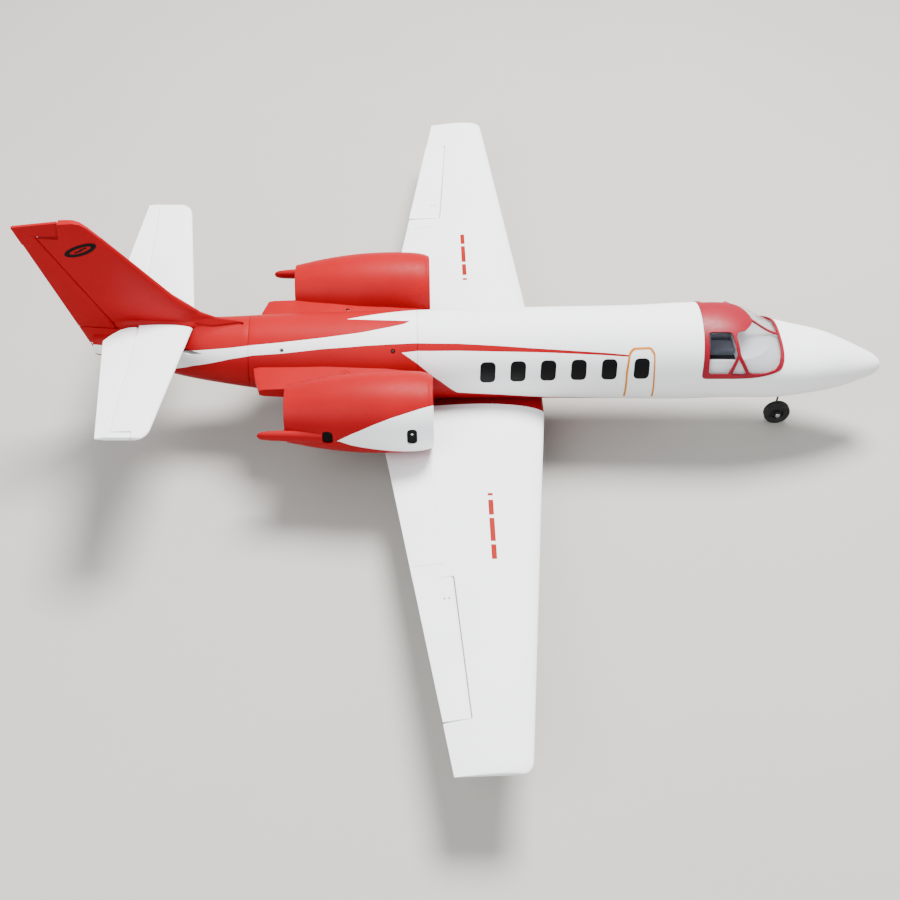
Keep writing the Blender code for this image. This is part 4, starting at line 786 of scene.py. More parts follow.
def fuselage_values(x):
    """Smoothly interpolated station values at x (piecewise cubic through STATIONS)."""
    table = STATIONS
    x = min(max(x, table[0][0]), table[-1][0])
    index = 0
    while index < len(table) - 2 and x > table[index + 1][0]:
        index += 1
    left = table[index]
    right = table[index + 1]
    before = table[max(index - 1, 0)]
    after = table[min(index + 2, len(table) - 1)]
    span = right[0] - left[0]
    t = (x - left[0]) / span
    values = []
    for k in range(1, 5):
        slope_left = (right[k] - before[k]) / (right[0] - before[0])
        slope_right = (after[k] - left[k]) / (after[0] - left[0])
        h00 = 2 * t ** 3 - 3 * t ** 2 + 1
        h10 = t ** 3 - 2 * t ** 2 + t
        h01 = -2 * t ** 3 + 3 * t ** 2
        h11 = t ** 3 - t ** 2
        values.append(h00 * left[k] + h10 * span * slope_left + h01 * right[k] + h11 * span * slope_right)
    return values


def fuselage_envelope(offset, start, end):
    """Solid inside the fuselage skin between two stations."""
    return loft("envelope", [fuselage_ring(x, offset) for x in spaced(start, end, 0.010)])


def skin_radius(x, angle, offset=0.0):
    """Distance from the fuselage's middle to its skin, at an angle in degrees from the top."""
    top, bottom, half_width, power = fuselage_values(x)
    across = abs(math.sin(math.radians(angle))) / (half_width + offset)
    upright = abs(math.cos(math.radians(angle))) / ((top - bottom) / 2 + offset)
    return (across ** power + upright ** power) ** (-1 / power)


def skin_point(x, angle, side=-1, offset=0.0, share=1.0):
    """Point on the fuselage skin; side is -1 for the right-hand side."""
    top, bottom, _, _ = fuselage_values(x)
    radius = skin_radius(x, angle, offset) * share
    turn = math.radians(angle)
    return Vector((x, side * radius * math.sin(turn), (top + bottom) / 2 + radius * math.cos(turn)))


def fuselage_ring(x, offset=0.0):
    """Section of the fuselage skin, moved outwards by an offset."""
    turns = [360.0 * (step + 0.5) / FUSELAGE_SIDES for step in range(FUSELAGE_SIDES)]
    return [tuple(skin_point(x, turn, -1, offset)) for turn in turns]


def seamed_rings(stations, start_seam, end_seam):
    """Rings whose edges are eased where the moulding meets its neighbour."""
    rings = []
    first = stations[0]
    last = stations[-1]
    step = 1 if last > first else -1
    if start_seam:
        for reach, dip in EDGE_EASE:
            rings.append(fuselage_ring(first + step * reach, -dip))
    else:
        rings.append(fuselage_ring(first))
    rings += [fuselage_ring(x) for x in stations[1:-1]]
    if end_seam:
        for reach, dip in reversed(EDGE_EASE):
            rings.append(fuselage_ring(last - step * reach, -dip))
    else:
        rings.append(fuselage_ring(last))
    return rings


DEGREE_LENGTH = 0.00104      # length of one degree of girth on the cabin
CUTTER_PITCH = 0.0015        # length of an outline's longest straight step


def finely_stepped(outline):
    """Outline of (x, degrees) with points added so that its edges follow the round skin."""
    result = []
    for (x0, a0), (x1, a1) in zip(outline, outline[1:] + outline[:1]):
        length = math.hypot(x1 - x0, (a1 - a0) * DEGREE_LENGTH)
        count = max(1, math.ceil(length / CUTTER_PITCH))
        for step in range(count):
            result.append((x0 + (x1 - x0) * step / count, a0 + (a1 - a0) * step / count))
    return result


def radial_cutter(outline, side, low=0.55, high=1.6):
    """Solid through the skin whose outline is given as (x, degrees from the top)."""
    outline = finely_stepped(list(outline))
    rings = []
    for share in (low, high):
        rings.append([skin_point(x, angle, side, 0.0, share) for x, angle in outline])
    return loft("radial", rings)


def girth_outline(points, radius, steps=8):
    """Round the corners of an outline of (x, degrees) by a real radius."""
    flat = [(x, angle * DEGREE_LENGTH) for x, angle in points]
    return [(x, s / DEGREE_LENGTH) for x, s in rounded_outline(flat, radius, steps)]


# Lower edge of the hatch towards the nose: (x, height over its floor), then (distance behind its
# front, height over its floor)
HATCH_FLAT = ((0.3300, 0.0), (0.3520, 0.0010), (0.3720, 0.0036))
HATCH_RISE = ((0.0080, 0.0070), (0.0026, 0.0120), (0.0004, 0.0180), (0.0, 0.0240))
HATCH_TOP = 0.2200
HEEL_RADIUS = 0.0060
BEYOND_SIDE = 0.080      # half width of a tool that cuts right across the fuselage


def hatch_prism(shrink):
    """Side outline of the canopy hatch, extruded across the fuselage."""
    rear = HATCH_REAR + shrink
    front = HATCH_FRONT - shrink
    floor = HATCH_FLOOR + shrink
    nose = [(x, floor + rise) for x, rise in HATCH_FLAT]
    nose += [(front - back, floor + rise) for back, rise in HATCH_RISE]
    curve = [tuple(point) for point in smooth_line(nose)]
    heel = rounded_outline([(rear, floor + 0.0200), (rear, floor), (0.3200, floor)], HEEL_RADIUS)[7:14]
    outline = [(rear, HATCH_TOP)] + heel + curve + [(front, HATCH_TOP)]
    return prism("hatch", outline, -BEYOND_SIDE, BEYOND_SIDE)


def saddle_box():
    return box("saddle", (SADDLE_X[0], -0.085, 0.030), (SADDLE_X[1], 0.085, SADDLE_Z))


FUSELAGE_SCREWS = ((-0.2361, 45.6), (-0.0981, 44.9))        # (x, degrees down from the top)
SCREW_RECESS_R = 0.0030
SCREW_HEAD_R = 0.0020
NOSE_RINGS = (0.5310, 0.5340, 0.5365, 0.5385, 0.5400, NOSE_X)


def screw_recess(x, angle, side):
    """Round counterbore for a fuselage screw."""
    foot = skin_point(x, angle, side, 0.0, 0.962)
    top = skin_point(x, angle, side, 0.0, 1.06)
    return cylinder("recess", SCREW_RECESS_R, foot, top, 32)


def build_fuselage():
    nose_stations = spaced(FRONT_SEAM_X + GAP / 2, 0.4600, RING_PITCH)
    nose_stations += spaced(0.4660, 0.5280, 0.0050) + list(NOSE_RINGS)
    cavity = [x for x in nose_stations if x < NOSE_CAVITY_END]
    front = shell_loft(
        "front",
        seamed_rings(nose_stations, True, False),
        [fuselage_ring(x, -FOAM_WALL) for x in cavity],
        inner_closed=True,
    )
    half_x = NOSE_MOUNT_HALF[0] + GAP
    half_y = NOSE_MOUNT_HALF[1] + GAP
    low = (NOSE_WHEEL[0] - half_x, -half_y, 0.040)
    high = (NOSE_WHEEL[0] + half_x, half_y, NOSE_MOUNT_TOP)
    cut(front, hatch_prism(0.0), saddle_box(), box("nose_bay", low, high))
    piece(front, "fuselage_front_skin", "fuselage", "airframe", "white_foam", "fuselage_front")
    stations = spaced(REAR_SEAM_X + GAP / 2, FRONT_SEAM_X - GAP / 2, RING_PITCH)
    rear = shell_loft(
        "rear",
        seamed_rings(stations, True, True),
        [fuselage_ring(x, -FOAM_WALL) for x in stations],
        inner_closed=False,
    )
    cut(rear, saddle_box())
    for side, _ in SIDES:
        cut(rear, *[screw_recess(x, angle, side) for x, angle in FUSELAGE_SCREWS])
    piece(rear, "fuselage_rear_skin", "fuselage", "airframe", "red_foam", "fuselage_rear")


SLOT_TURN = 0.4          # how far a screw's cross is turned, radians
SLOT_HALF = 0.00035
SCREW_BURY = 0.0008      # how deep a screw's head stands in its seat


def standing(centre, direction):
    """Frame at a point with +Z along a direction."""
    turn = Vector((0, 0, 1)).rotation_difference(Vector(direction)).to_matrix().to_4x4()
    return Matrix.Translation(centre) @ turn


def screw(centre, direction):
    """Pan-head screw with a cross recess, its head standing on centre."""
    radius = SCREW_HEAD_R
    dome = [(0.0011, 0.0), (0.0010, radius * 0.55), (0.0005, radius * 0.92), (0.0, radius)]
    place = standing(centre, direction)
    item = turned("screw", [(-SCREW_BURY, 0.0)] + dome + [(-SCREW_BURY, radius)], 32, place, "Z")
    for angle in (SLOT_TURN, SLOT_TURN + math.pi / 2):
        low = (-radius * 0.6, -SLOT_HALF, 0.0003)
        high = (radius * 0.6, SLOT_HALF, 0.0030)
        cut(item, box("slot", low, high, place @ Matrix.Rotation(angle, 4, "Z")))
    return item


def build_screws():
    """Screws in the sides of the fuselage and on top of both pylons."""
    items = []
    for side, _ in SIDES:
        for x, angle in FUSELAGE_SCREWS:
            foot = skin_point(x, angle, side, 0.0, 0.968)
            items.append(screw(foot, skin_point(x, angle, side, 0.0, 1.1) - foot))
        x, y, z = PYLON_SCREW
        items.append(screw((x, side * y, z - 0.0014), (0, 0, 1)))
    piece(gather("screws", items), "panel_screws", "screw", "airframe", "steel_wire")


# Cabin windows and door
WINDOW_X = (0.0201, 0.0580, 0.0957, 0.1338, 0.1720, 0.2124)
WINDOW_HALF = 0.0096
WINDOW_ANGLES = ((0.0201, 59.4, 87.3), (0.2124, 56.4, 82.7))    # x, upper edge, lower edge in degrees
DECAL_LIFT = 0.00035
WINDOW_CORNER = 0.0072
DOOR = ((0.1966, 132.0), (0.1928, 74.4), (0.1951, 49.9), (0.2002, 43.6), (0.2229, 43.1), (0.2283, 50.4),
        (0.2295, 74.8), (0.2354, 132.0))
DOOR_FOOT = ((0.1800, 118.0), (0.2500, 118.0), (0.2500, 145.0), (0.1800, 145.0))    # left unpainted
DOOR_LINE = 0.0027
DOOR_CORNER = 0.0030


def skin_slice(start, end, inner=-0.0006, outer=DECAL_LIFT, pitch=RING_PITCH):
    """Thin shell that follows the fuselage skin between two stations."""
    stations = spaced(start, end, pitch)
    return shell_loft(
        "slice",
        [fuselage_ring(x, outer) for x in stations],
        [fuselage_ring(x, inner) for x in stations],
        inner_closed=False,
    )


def window_outline(x):
    first, last = WINDOW_ANGLES
    upper = line_at(((first[0], first[1]), (last[0], last[1])), x)
    lower = line_at(((first[0], first[2]), (last[0], last[2])), x)
    half = WINDOW_HALF
    corners = ((x - half, upper), (x + half, upper), (x + half, lower), (x - half, lower))
    return girth_outline(corners, WINDOW_CORNER)


def inset_girth(points, amount):
    """Outline moved inwards by a real distance, about its own middle."""
    xs = [x for x, _ in points]
    turns = [angle for _, angle in points]
    mid_x = (min(xs) + max(xs)) / 2
    mid_a = (min(turns) + max(turns)) / 2
    share_x = 1 - 2 * amount / (max(xs) - min(xs))
    share_a = 1 - 2 * amount / ((max(turns) - min(turns)) * DEGREE_LENGTH)
    return [(mid_x + (x - mid_x) * share_x, mid_a + (angle - mid_a) * share_a) for x, angle in points]


def build_cabin_markings():
    for side, label in SIDES:
        panes = boolean(
            skin_slice(0.0040, 0.2280),
            gather("tools", [radial_cutter(window_outline(x), side) for x in WINDOW_X]),
            "INTERSECT",
        )
        piece(panes, f"cabin_windows_{label}", "window_black", "airframe", "black_plastic")
        outline = girth_outline(DOOR, DOOR_CORNER)
        door = boolean(skin_slice(0.1880, 0.2440), radial_cutter(outline, side), "INTERSECT")
        cut(door, radial_cutter(inset_girth(outline, DOOR_LINE), side, 0.5, 1.7))
        cut(door, radial_cutter(DOOR_FOOT, side, 0.45, 1.8))
        piece(door, f"door_outline_{label}", "door_gold", "airframe", "white_foam")


# ------------------------------------------------------------------ canopy hatch and cockpit
ROOF_EDGE = ((0.3561, 2.0), (0.3518, 11.9), (0.3434, 22.7), (0.3316, 28.4))
WINDSCREEN_LEFT = ((0.3315, 30.0), (0.3300, 33.2), (0.3357, 55.4), (0.3478, 74.8))
WINDSCREEN_FRONT = ((0.3498, 76.5), (0.3578, 76.6), (0.3751, 70.4), (0.3868, 62.0), (0.3912, 50.1),
                    (0.3928, 37.0), (0.3932, 16.4), (0.3934, 2.3))
SIDE_WINDOW = ((0.2948, 29.8), (0.2980, 27.9), (0.3220, 28.3), (0.3250, 30.3), (0.3315, 55.6),
               (0.3216, 79.8), (0.3002, 79.5), (0.2970, 76.6))
QUARTER_WINDOW = ((0.3331, 60.0), (0.3454, 79.0), (0.3264, 80.0))
FRAME_WALL = 0.0016
PANE_WALL = 0.0008


def windscreen_outline():
    roof = [tuple(point) for point in smooth_line(ROOF_EDGE)]
    front = [tuple(point) for point in smooth_line(WINDSCREEN_FRONT)]
    return roof + list(WINDSCREEN_LEFT) + front


def hatch_slice(outer, inner):
    return skin_slice(0.2800, 0.4100, inner, outer, 0.0050)


def build_canopy():
    body = boolean(hatch_slice(0.0006, -FRAME_WALL), hatch_prism(GAP * 1.5), "INTERSECT")
    for side, _ in SIDES:
        cut(body, radial_cutter(girth_outline(SIDE_WINDOW, 0.0012), side))
        cut(body, radial_cutter(girth_outline(QUARTER_WINDOW, 0.0010), side))
        cut(body, radial_cutter(windscreen_outline(), side, 0.5, 1.9))
    piece(body, "canopy_frame_shell", "red_plastic", "canopy", "red_plastic", "canopy_frame")
    panes = hatch_slice(-FRAME_WALL - 0.0001, -FRAME_WALL - PANE_WALL)
    boolean(panes, hatch_prism(0.0018), "INTERSECT")
    piece(panes, "canopy_panes", "clear", "canopy", "clear_plastic", "canopy_glazing")


TRAY_OUTLINE = ((0.2800, 0.1372), (0.2800, 0.1545), (0.3360, 0.1545), (0.3450, 0.1565), (0.3600, 0.1570),
                (0.4000, 0.1560), (0.4000, 0.1372))           # (x, z)
TRAY_X = (0.2925, 0.3950)
TRAY_INSET = 0.0052      # from the fuselage skin
SEAT_X = 0.3050          # back edge of the cushions
SEAT_Z = 0.1450
SEAT_SPAN = (0.0035, 0.0250)        # y of a seat's two sides
HEADREST_SPAN = (0.0115, 0.0255)
SEAT_LEAN = math.radians(-12)


def build_cockpit():
    """Pale tray under the glazing with a well and two seats; the well's near-black floor is partly its own
    colour, partly painted shade.
    """
    tray = loft("tray", [fuselage_ring(x, -TRAY_INSET) for x in spaced(*TRAY_X, 0.0050)])
    tray = boolean(tray, prism("trim", TRAY_OUTLINE, -BEYOND_SIDE, BEYOND_SIDE), "INTERSECT")
    cut(tray, box("well", (0.2965, -0.0475, 0.1400), (0.3370, 0.0475, 0.1700), None, 0.0012))
    piece(tray, "cockpit_tray", "white_foam", "canopy", "dark_seat", "cockpit_tub")
    seats = []
    # Near-black sheet over the well's floor: partly the floor's own colour, partly painted shade for the
    # shadow that falls deep in the well.
    well_floor_and_painted_shade = box("well_floor_and_painted_shade", (0.2970, -0.0470, 0.1402), (0.3365, 0.0470, 0.1408))
    lean = Matrix.Translation((SEAT_X, 0, SEAT_Z)) @ Matrix.Rotation(SEAT_LEAN, 4, "Y")
    for side in (-1, 1):
        y0, y1 = sorted((side * SEAT_SPAN[0], side * SEAT_SPAN[1]))
        seats.append(box("cushion", (SEAT_X, y0, 0.1404), (0.3362, y1, 0.1490), None, 0.0022))
        seats.append(box("back", (-0.0045, y0, 0.0), (0.0015, y1, 0.0240), lean, 0.0024))
        y0, y1 = sorted((side * HEADREST_SPAN[0], side * HEADREST_SPAN[1]))
        seats.append(box("head", (-0.0042, y0, 0.0225), (0.0012, y1, 0.0315), lean, 0.0022))
    piece(gather("seats", seats), "cockpit_seats", "grey_plastic", "canopy", "dark_seat")
    piece(well_floor_and_painted_shade, "cockpit_floor_and_painted_shade", "well_floor_black_and_painted_shade", "canopy", "dark_seat")


# ------------------------------------------------------------------ wing
def thickness_shape(along):
    """Half thickness of a symmetric section, as a share of its largest half thickness."""
    along = min(max(along, 0.0), 1.0)
    root = math.sqrt(along)
    return 10 * (
        0.2969 * root - 0.1260 * along - 0.3516 * along ** 2 + 0.2843 * along ** 3 - 0.0950 * along ** 4
    )


def camber_shape(along):
    """Height of the camber line in chords, with its crest at 40 % of the chord."""
    if along < 0.4:
        return WING_CAMBER * (0.8 * along - along * along) / 0.16
    return WING_CAMBER * (0.2 + 0.8 * along - along * along) / 0.36


def chord_stations(points):
    """Chord fractions bunched towards the leading edge."""
    return [1 - math.cos(0.5 * math.pi * i / points) for i in range(points + 1)]


WING_STEPS = 26


def wing_ring(y, place_y=None, squeeze=1.0, nose=0.0):
    """Airfoil ring at span position y; nose moves the leading edge back at the rounded tip."""
    lead = line_at(WING_LE, y)
    chord = lead - line_at(WING_TE, y)
    upper = []
    lower = []
    for share in chord_stations(WING_STEPS):
        along = nose + share * (1 - nose)
        base = line_at(WING_LE_Z, y) * (1 - along) + line_at(WING_TE_Z, y) * along
        half = 0.5 * WING_THICKNESS * thickness_shape(share) * squeeze
        camber = camber_shape(along)
        span_y = y if place_y is None else place_y
        upper.append((lead - along * chord, span_y, base + (camber + half) * chord))
        lower.append((lead - along * chord, span_y, base + (camber - half) * chord))
    return list(reversed(upper)) + lower[1:]


def wing_mid(y, x):
    """Height of the middle of the wing at a plan position, and its half thickness there."""
    lead = line_at(WING_LE, y)
    chord = lead - line_at(WING_TE, y)
    along = (lead - x) / chord
    base = line_at(WING_LE_Z, y) * (1 - along) + line_at(WING_TE_Z, y) * along
    return base + camber_shape(along) * chord, 0.5 * WING_THICKNESS * thickness_shape(along) * chord


def mirrored(points, side):
    return [(x, y * side, z) for x, y, z in points]


class Hinge:
    """A hinge line with a local frame: +X forward, +Y along the hinge, +Z out of the surface."""

    def __init__(self, start, end, radius_start, radius_end):
        start = Vector(start)
        end = Vector(end)
        self.length = (end - start).length
        self.radius = (radius_start, radius_end)
        self.matrix = frame_along(start, end - start)

    def radius_at(self, y):
        first, last = self.radius
        return first + (last - first) * y / self.length


def frame_along(origin, direction):
    """Right-handed frame at origin: Y along direction, X as close to the nose as it can be."""
    along = direction.normalized()
    forward = (Vector((1, 0, 0)) - along * along.x).normalized()
    normal = forward.cross(along)
    matrix = Matrix((forward, along, normal)).transposed().to_4x4()
    matrix.translation = origin
    return matrix


def aileron_hinge(side):
    """Hinge of an aileron, always drawn from right to left so that +Y is its axis."""
    ends = []
    for y, x in AILERON_HINGE:
        z, half = wing_mid(y, x)
        ends.append(((x, side * y, z), half))
    if side < 0:
        ends.reverse()
    return Hinge(ends[0][0], ends[1][0], ends[0][1], ends[1][1])


def surface_cutter(hinge, depth):
    """Wedge that clears a control surface out of the fixed part in front of it."""
    reach = [radius + HINGE_GAP for radius in hinge.radius]
    outline = [
        (-depth, -HINGE_GAP),
        (reach[0], -HINGE_GAP),
        (reach[1], hinge.length + HINGE_GAP),
        (-depth, hinge.length + HINGE_GAP),
    ]
    return prism("surface_cut", outline, -BEYOND_FIN, BEYOND_FIN, "XY", hinge.matrix)


def surface_ring(y, trail_x, nose_radius, trail_half=TRAIL_HALF, steps=16):
    """Wedge section with a half-round front on the hinge, in a hinge frame."""
    ring = [(trail_x, y, trail_half)]
    for step in range(steps + 1):
        angle = math.pi / 2 - math.pi * step / steps
        ring.append((nose_radius * math.cos(angle), y, nose_radius * math.sin(angle)))
    ring.append((trail_x, y, -trail_half))
    return ring


def shifted(matrix, x, y, z):
    """Copy of a frame moved by a local offset."""
    return matrix @ Matrix.Translation((x, y, z))


def aileron_servo_frame(side):
    hinge = aileron_hinge(side)
    return shifted(link_frame(hinge, side), AILERON_SERVO_REACH, 0.0, AILERON_SERVO_DROP)


def link_frame(hinge, side):
    """Frame on the hinge at the plane of its linkage, a set distance from the inboard end."""
    y = LINK_INSET if side > 0 else hinge.length - LINK_INSET
    return shifted(hinge.matrix, 0.0, y, 0.0)


def span(a, b, turn):
    """Y range of a linkage part, mirrored with the side that it faces."""
    return (a, b) if turn > 0 else (-b, -a)


def servo_pocket(frame, turn):
    y0, y1 = span(-0.0210, 0.0045, turn)
    return box("pocket", (-0.0168, y0, -0.0300), (0.0213, y1, 0.0063), frame)


def ellipse_ring(x, centre_z, half_width, half_height, sides):
    ring = []
    for step in range(sides):
        angle = 2 * math.pi * (step + 0.5) / sides
        ring.append((x, half_width * math.cos(angle), centre_z + half_height * math.sin(angle)))
    return ring


FLAP_LINE = ((-0.0537, 0.1562), (-0.0399, 0.3198))      # (x, y) of the engraved flap hinge
GROOVE_HALF = 0.0004
GROOVE_DEPTH = 0.0008


def top_of_wing(x, y):
    """Height of the wing's upper skin at a plan position on either side."""
    middle, half = wing_mid(abs(y), x)
    return middle + half


def groove(points, side):
    """Shallow engraved line in the wing's upper skin through plan points (x, y)."""
    rings = []
    path = []
    for (x0, y0), (x1, y1) in zip(points, points[1:]):
        for share in spaced(0.0, 1.0, 0.08)[:-1]:
            path.append((x0 + (x1 - x0) * share, y0 + (y1 - y0) * share))
    path.append(points[-1])
    for i, (x, y) in enumerate(path):
        before = Vector(path[max(i - 1, 0)])
        after = Vector(path[min(i + 1, len(path) - 1)])
        across = (after - before).normalized().orthogonal() * GROOVE_HALF
        top = top_of_wing(x, y)
        ring = []
        for sign, rise in ((1, -GROOVE_DEPTH), (1, 0.004), (-1, 0.004), (-1, -GROOVE_DEPTH)):
            ring.append((x + across.x * sign, side * (y + across.y * sign), top + rise))
        rings.append(ring)
    return loft("groove", rings)


def quarter_turn(steps):
    """Angles that share out a quarter turn, without its start."""
    return [0.5 * math.pi * step / steps for step in range(1, steps + 1)]


def build_wing(side, label):
    spans = spaced(WING_ROOT_Y, HALF_SPAN - TIP_ROUND, 0.0200)
    rings = [wing_ring(y) for y in spans]
    for turn in quarter_turn(8):
        y = HALF_SPAN - TIP_ROUND * (1 - math.sin(turn))
        depth = 1 - math.cos(turn)
        rings.append(wing_ring(y, None, 1 - 0.55 * depth, 0.125 * depth))
    body = loft("wing", [mirrored(ring, side) for ring in rings])
    cut(body, surface_cutter(aileron_hinge(side), 0.100))
    cut(body, servo_pocket(aileron_servo_frame(side), -side))
    inner_end, outer_end = [(line_at(WING_TE, y) + 0.001, y) for _, y in FLAP_LINE]
    cut(body, groove([inner_end, *FLAP_LINE, outer_end], side))
    piece(body, f"wing_{label}_skin", "white_foam", "airframe", "white_foam", f"wing_{label}")


def build_aileron(side, label):
    hinge = aileron_hinge(side)
    to_local = hinge.matrix.inverted()
    rings = []
    ends = (AILERON_HINGE[0][0], AILERON_HINGE[1][0])
    for share in spaced(0.0, 1.0, 0.10):
        y = ends[0] + (ends[1] - ends[0]) * (share if side > 0 else 1 - share)
        trail = to_local @ Vector((line_at(WING_TE, y), side * y, line_at(WING_TE_Z, y)))
        along = hinge.length * share
        rings.append(surface_ring(along, trail.x, hinge.radius_at(along)))
    body = loft("aileron", rings, hinge.matrix)
    node = f"aileron_{label}"
    piece(body, f"{node}_skin", "white_foam", node, "white_foam", node)
    frame_here = link_frame(hinge, side)
    local_y = (to_local @ frame_here.translation).y
    studs = []
    for back in (0.0030, 0.0085):
        share = back / abs((to_local @ Vector((line_at(WING_TE, ends[0]), side * ends[0], 0.09))).x)
        rise = hinge.radius_at(local_y) * (1 - share)
        studs.append(stud(frame_here @ Vector((-back, 0.0, rise)), frame_here.to_3x3().col[2]))
    piece(gather("studs", studs), f"{node}_horn_screws", "screw", node, "steel_wire")


def stud(centre, direction, radius=0.0011):
    """Small domed screw end standing out of a skin."""
    profile = [(-0.0006, 0.0), (0.0007, 0.0), (0.0005, radius * 0.6), (0.0, radius), (-0.0006, radius)]
    return turned("stud", profile, 20, standing(centre, direction), "Z")


KEEL = (                 # (x, share of the half width, share of the depth)
    (-0.1150, 0.45, 0.30),
    (-0.0900, 0.78, 0.66),
    (-0.0500, 0.96, 0.88),
    (0.0000, 1.00, 0.98),
    (0.0500, 0.97, 0.92),
    (0.0850, 0.80, 0.74),
    (0.1080, 0.48, 0.40),
)
KEEL_CENTRE_Z = 0.0760
KEEL_HALF = (0.0360, 0.0270)


def build_belly_fairing():
    """Wing centre section with its keel, shaped into the fuselage."""
    ends = spaced(-WING_ROOT_Y + GAP, WING_ROOT_Y - GAP, 0.030)
    body = loft("belly", [wing_ring(WING_ROOT_Y, y) for y in ends])
    plug = loft("plug", [fuselage_ring(x) for x in spaced(SADDLE_X[0] + GAP, SADDLE_X[1] - GAP, 0.010)])
    join(body, plug)
    keel = []
    for x, width, depth in smooth_line(KEEL, 5):
        keel.append(ellipse_ring(x, KEEL_CENTRE_Z, KEEL_HALF[0] * width, KEEL_HALF[1] * depth, 72))
    join(body, loft("keel", keel))
    cut(body, box("trim", (-0.200, -0.085, SADDLE_Z - GAP), (0.200, 0.085, 0.250)))
    piece(body, "belly_fairing_skin", "red_foam", "airframe", "red_foam", "belly_fairing")


MARK_PLACE = {1: (0.0030, 0.1924), -1: (0.0177, 0.2144)}     # (x, y) of the inner end on each wing
MARK_SPANS = ((0.0, 0.0040), (0.0110, 0.0240), (0.0400, 0.0360), (0.0810, 0.0220))    # (start, length)
MARK_HALF = 0.0030
MARK_SWEEP = -0.004
MARK_TOP = 0.00022       # how far painted marks stand out of a skin


def build_wing_marks():
    """Generic trim: a broken red bar across each wing, in place of lettering."""
    for side, label in SIDES:
        place_x, place_y = MARK_PLACE[side]
        bars = []
        for start, length in MARK_SPANS:
            rings = []
            for along in spaced(start, start + length, 0.0040):
                ring = []
                corners = ((1, -0.0003), (1, MARK_TOP), (-1, MARK_TOP), (-1, -0.0003))
                for dx, rise in [(MARK_HALF * sign, rise) for sign, rise in corners]:
                    x = place_x + along * MARK_SWEEP + dx
                    y = place_y + along
                    ring.append((x, side * y, top_of_wing(x, y) + rise))
                rings.append(ring)
            bars.append(loft("bar", rings))
        piece(gather("bars", bars), f"wing_mark_{label}", "mark_red", "airframe", "white_foam")


# ------------------------------------------------------------------ tail
STAB_STEPS = 20


def stab_ring(y, nose=0.0, squeeze=1.0):
    lead = line_at(STAB_LE, y)
    chord = lead - line_at(STAB_TE, y)
    middle = line_at(STAB_Z, y)
    half = 0.5 * line_at(STAB_THICK, y)
    upper = []
    lower = []
    for share in chord_stations(STAB_STEPS):
        along = nose + share * (1 - nose)
        height = half * thickness_shape(share) * squeeze
        upper.append((lead - along * chord, y, middle + height))
        lower.append((lead - along * chord, y, middle - height))
    return list(reversed(upper)) + lower[1:]


def elevator_hinge(side):
    ends = []
    for y in (ELEVATOR_ROOT_Y, STAB_TIP_Y):
        lead = line_at(STAB_LE, y)
        along = (lead - STAB_HINGE_X) / (lead - line_at(STAB_TE, y))
        half = 0.5 * line_at(STAB_THICK, y) * thickness_shape(along)
        ends.append(((STAB_HINGE_X, side * y, line_at(STAB_Z, y)), half))
    if side < 0:
        ends.reverse()
    return Hinge(ends[0][0], ends[1][0], ends[0][1], ends[1][1])


def elevator_frames():
    """Linkage frames of the elevator, which is driven on the right-hand half."""
    horn = shifted(elevator_hinge(-1).matrix, 0.0, elevator_hinge(-1).length - 0.0060, 0.0)
    arm = Matrix.Translation((ELEVATOR_SERVO_REACH, 0.0, ELEVATOR_SERVO_DROP)) @ horn
    return arm, horn


def fin_chord(z):
    """Leading and trailing edge of the fin at height z."""
    edge = FIN_LE
    index = 0
    while index < len(edge) - 2 and z > edge[index + 1][0]:
        index += 1
    lead = line_at((edge[index], edge[index + 1]), z)
    low = (FIN_TE_BOTTOM[1], FIN_TE_BOTTOM[0])
    high = (FIN_TE_TOP[1], FIN_TE_TOP[0])
    return lead, line_at((low, high), z)


def fin_half(z, x):
    lead, trail = fin_chord(z)
    along = (lead - x) / (lead - trail)
    return line_at(FIN_HALF, z) * thickness_shape(along)


def rudder_hinge():
    ends = []
    for x, z in (RUDDER_BOTTOM, RUDDER_TOP):
        ends.append(((x, 0.0, z), fin_half(z, x)))
    return Hinge(ends[0][0], ends[1][0], ends[0][1], ends[1][1])


def rudder_cutter():
    """Everything behind the rudder hinge and above the fixed tail stub, with the top horn."""
    hinge = rudder_hinge()
    low = hinge.matrix @ Vector((hinge.radius[0] + HINGE_GAP, 0.0, 0.0))
    high = hinge.matrix @ Vector((hinge.radius[1] + HINGE_GAP, hinge.length, 0.0))
    face = ((low.z, low.x), (high.z, high.x))
    floor = RUDDER_BOTTOM[1] - RUDDER_FOOT_GAP
    shelf = RUDDER_TOP[1] - RUDDER_HORN_GAP
    balance = RUDDER_HORN_X + HINGE_GAP
    outline = [
        (-0.600, floor),
        (line_at(face, floor), floor),
        (line_at(face, shelf), shelf),
        (balance, shelf),
        (balance + 0.0030, 0.3220),
        (balance + 0.0030, 0.3400),
        (-0.600, 0.3400),
    ]
    return prism("rudder_cut", outline, -BEYOND_FIN, BEYOND_FIN)


FIN_TOP = (              # (x, z) along the top edge to the front corner, then round above it
    (-0.580, 0.3030),
    (-0.5415, 0.3085),
    (-0.4900, 0.3155),
    (-0.4700, 0.3165),
    (-0.4620, 0.3145),
    (-0.4540, 0.3080),
    (-0.4400, 0.2930),
    (-0.4300, 0.3500),
    (-0.580, 0.3500),
)
BEYOND_FIN = 0.040       # half width of a tool that cuts right through the fin or a wing


def fin_top_cutter():
    """Trims the slightly sloping top edge of the fin and rudder and rounds its front corner."""
    return prism("top_trim", FIN_TOP, -BEYOND_FIN, BEYOND_FIN)


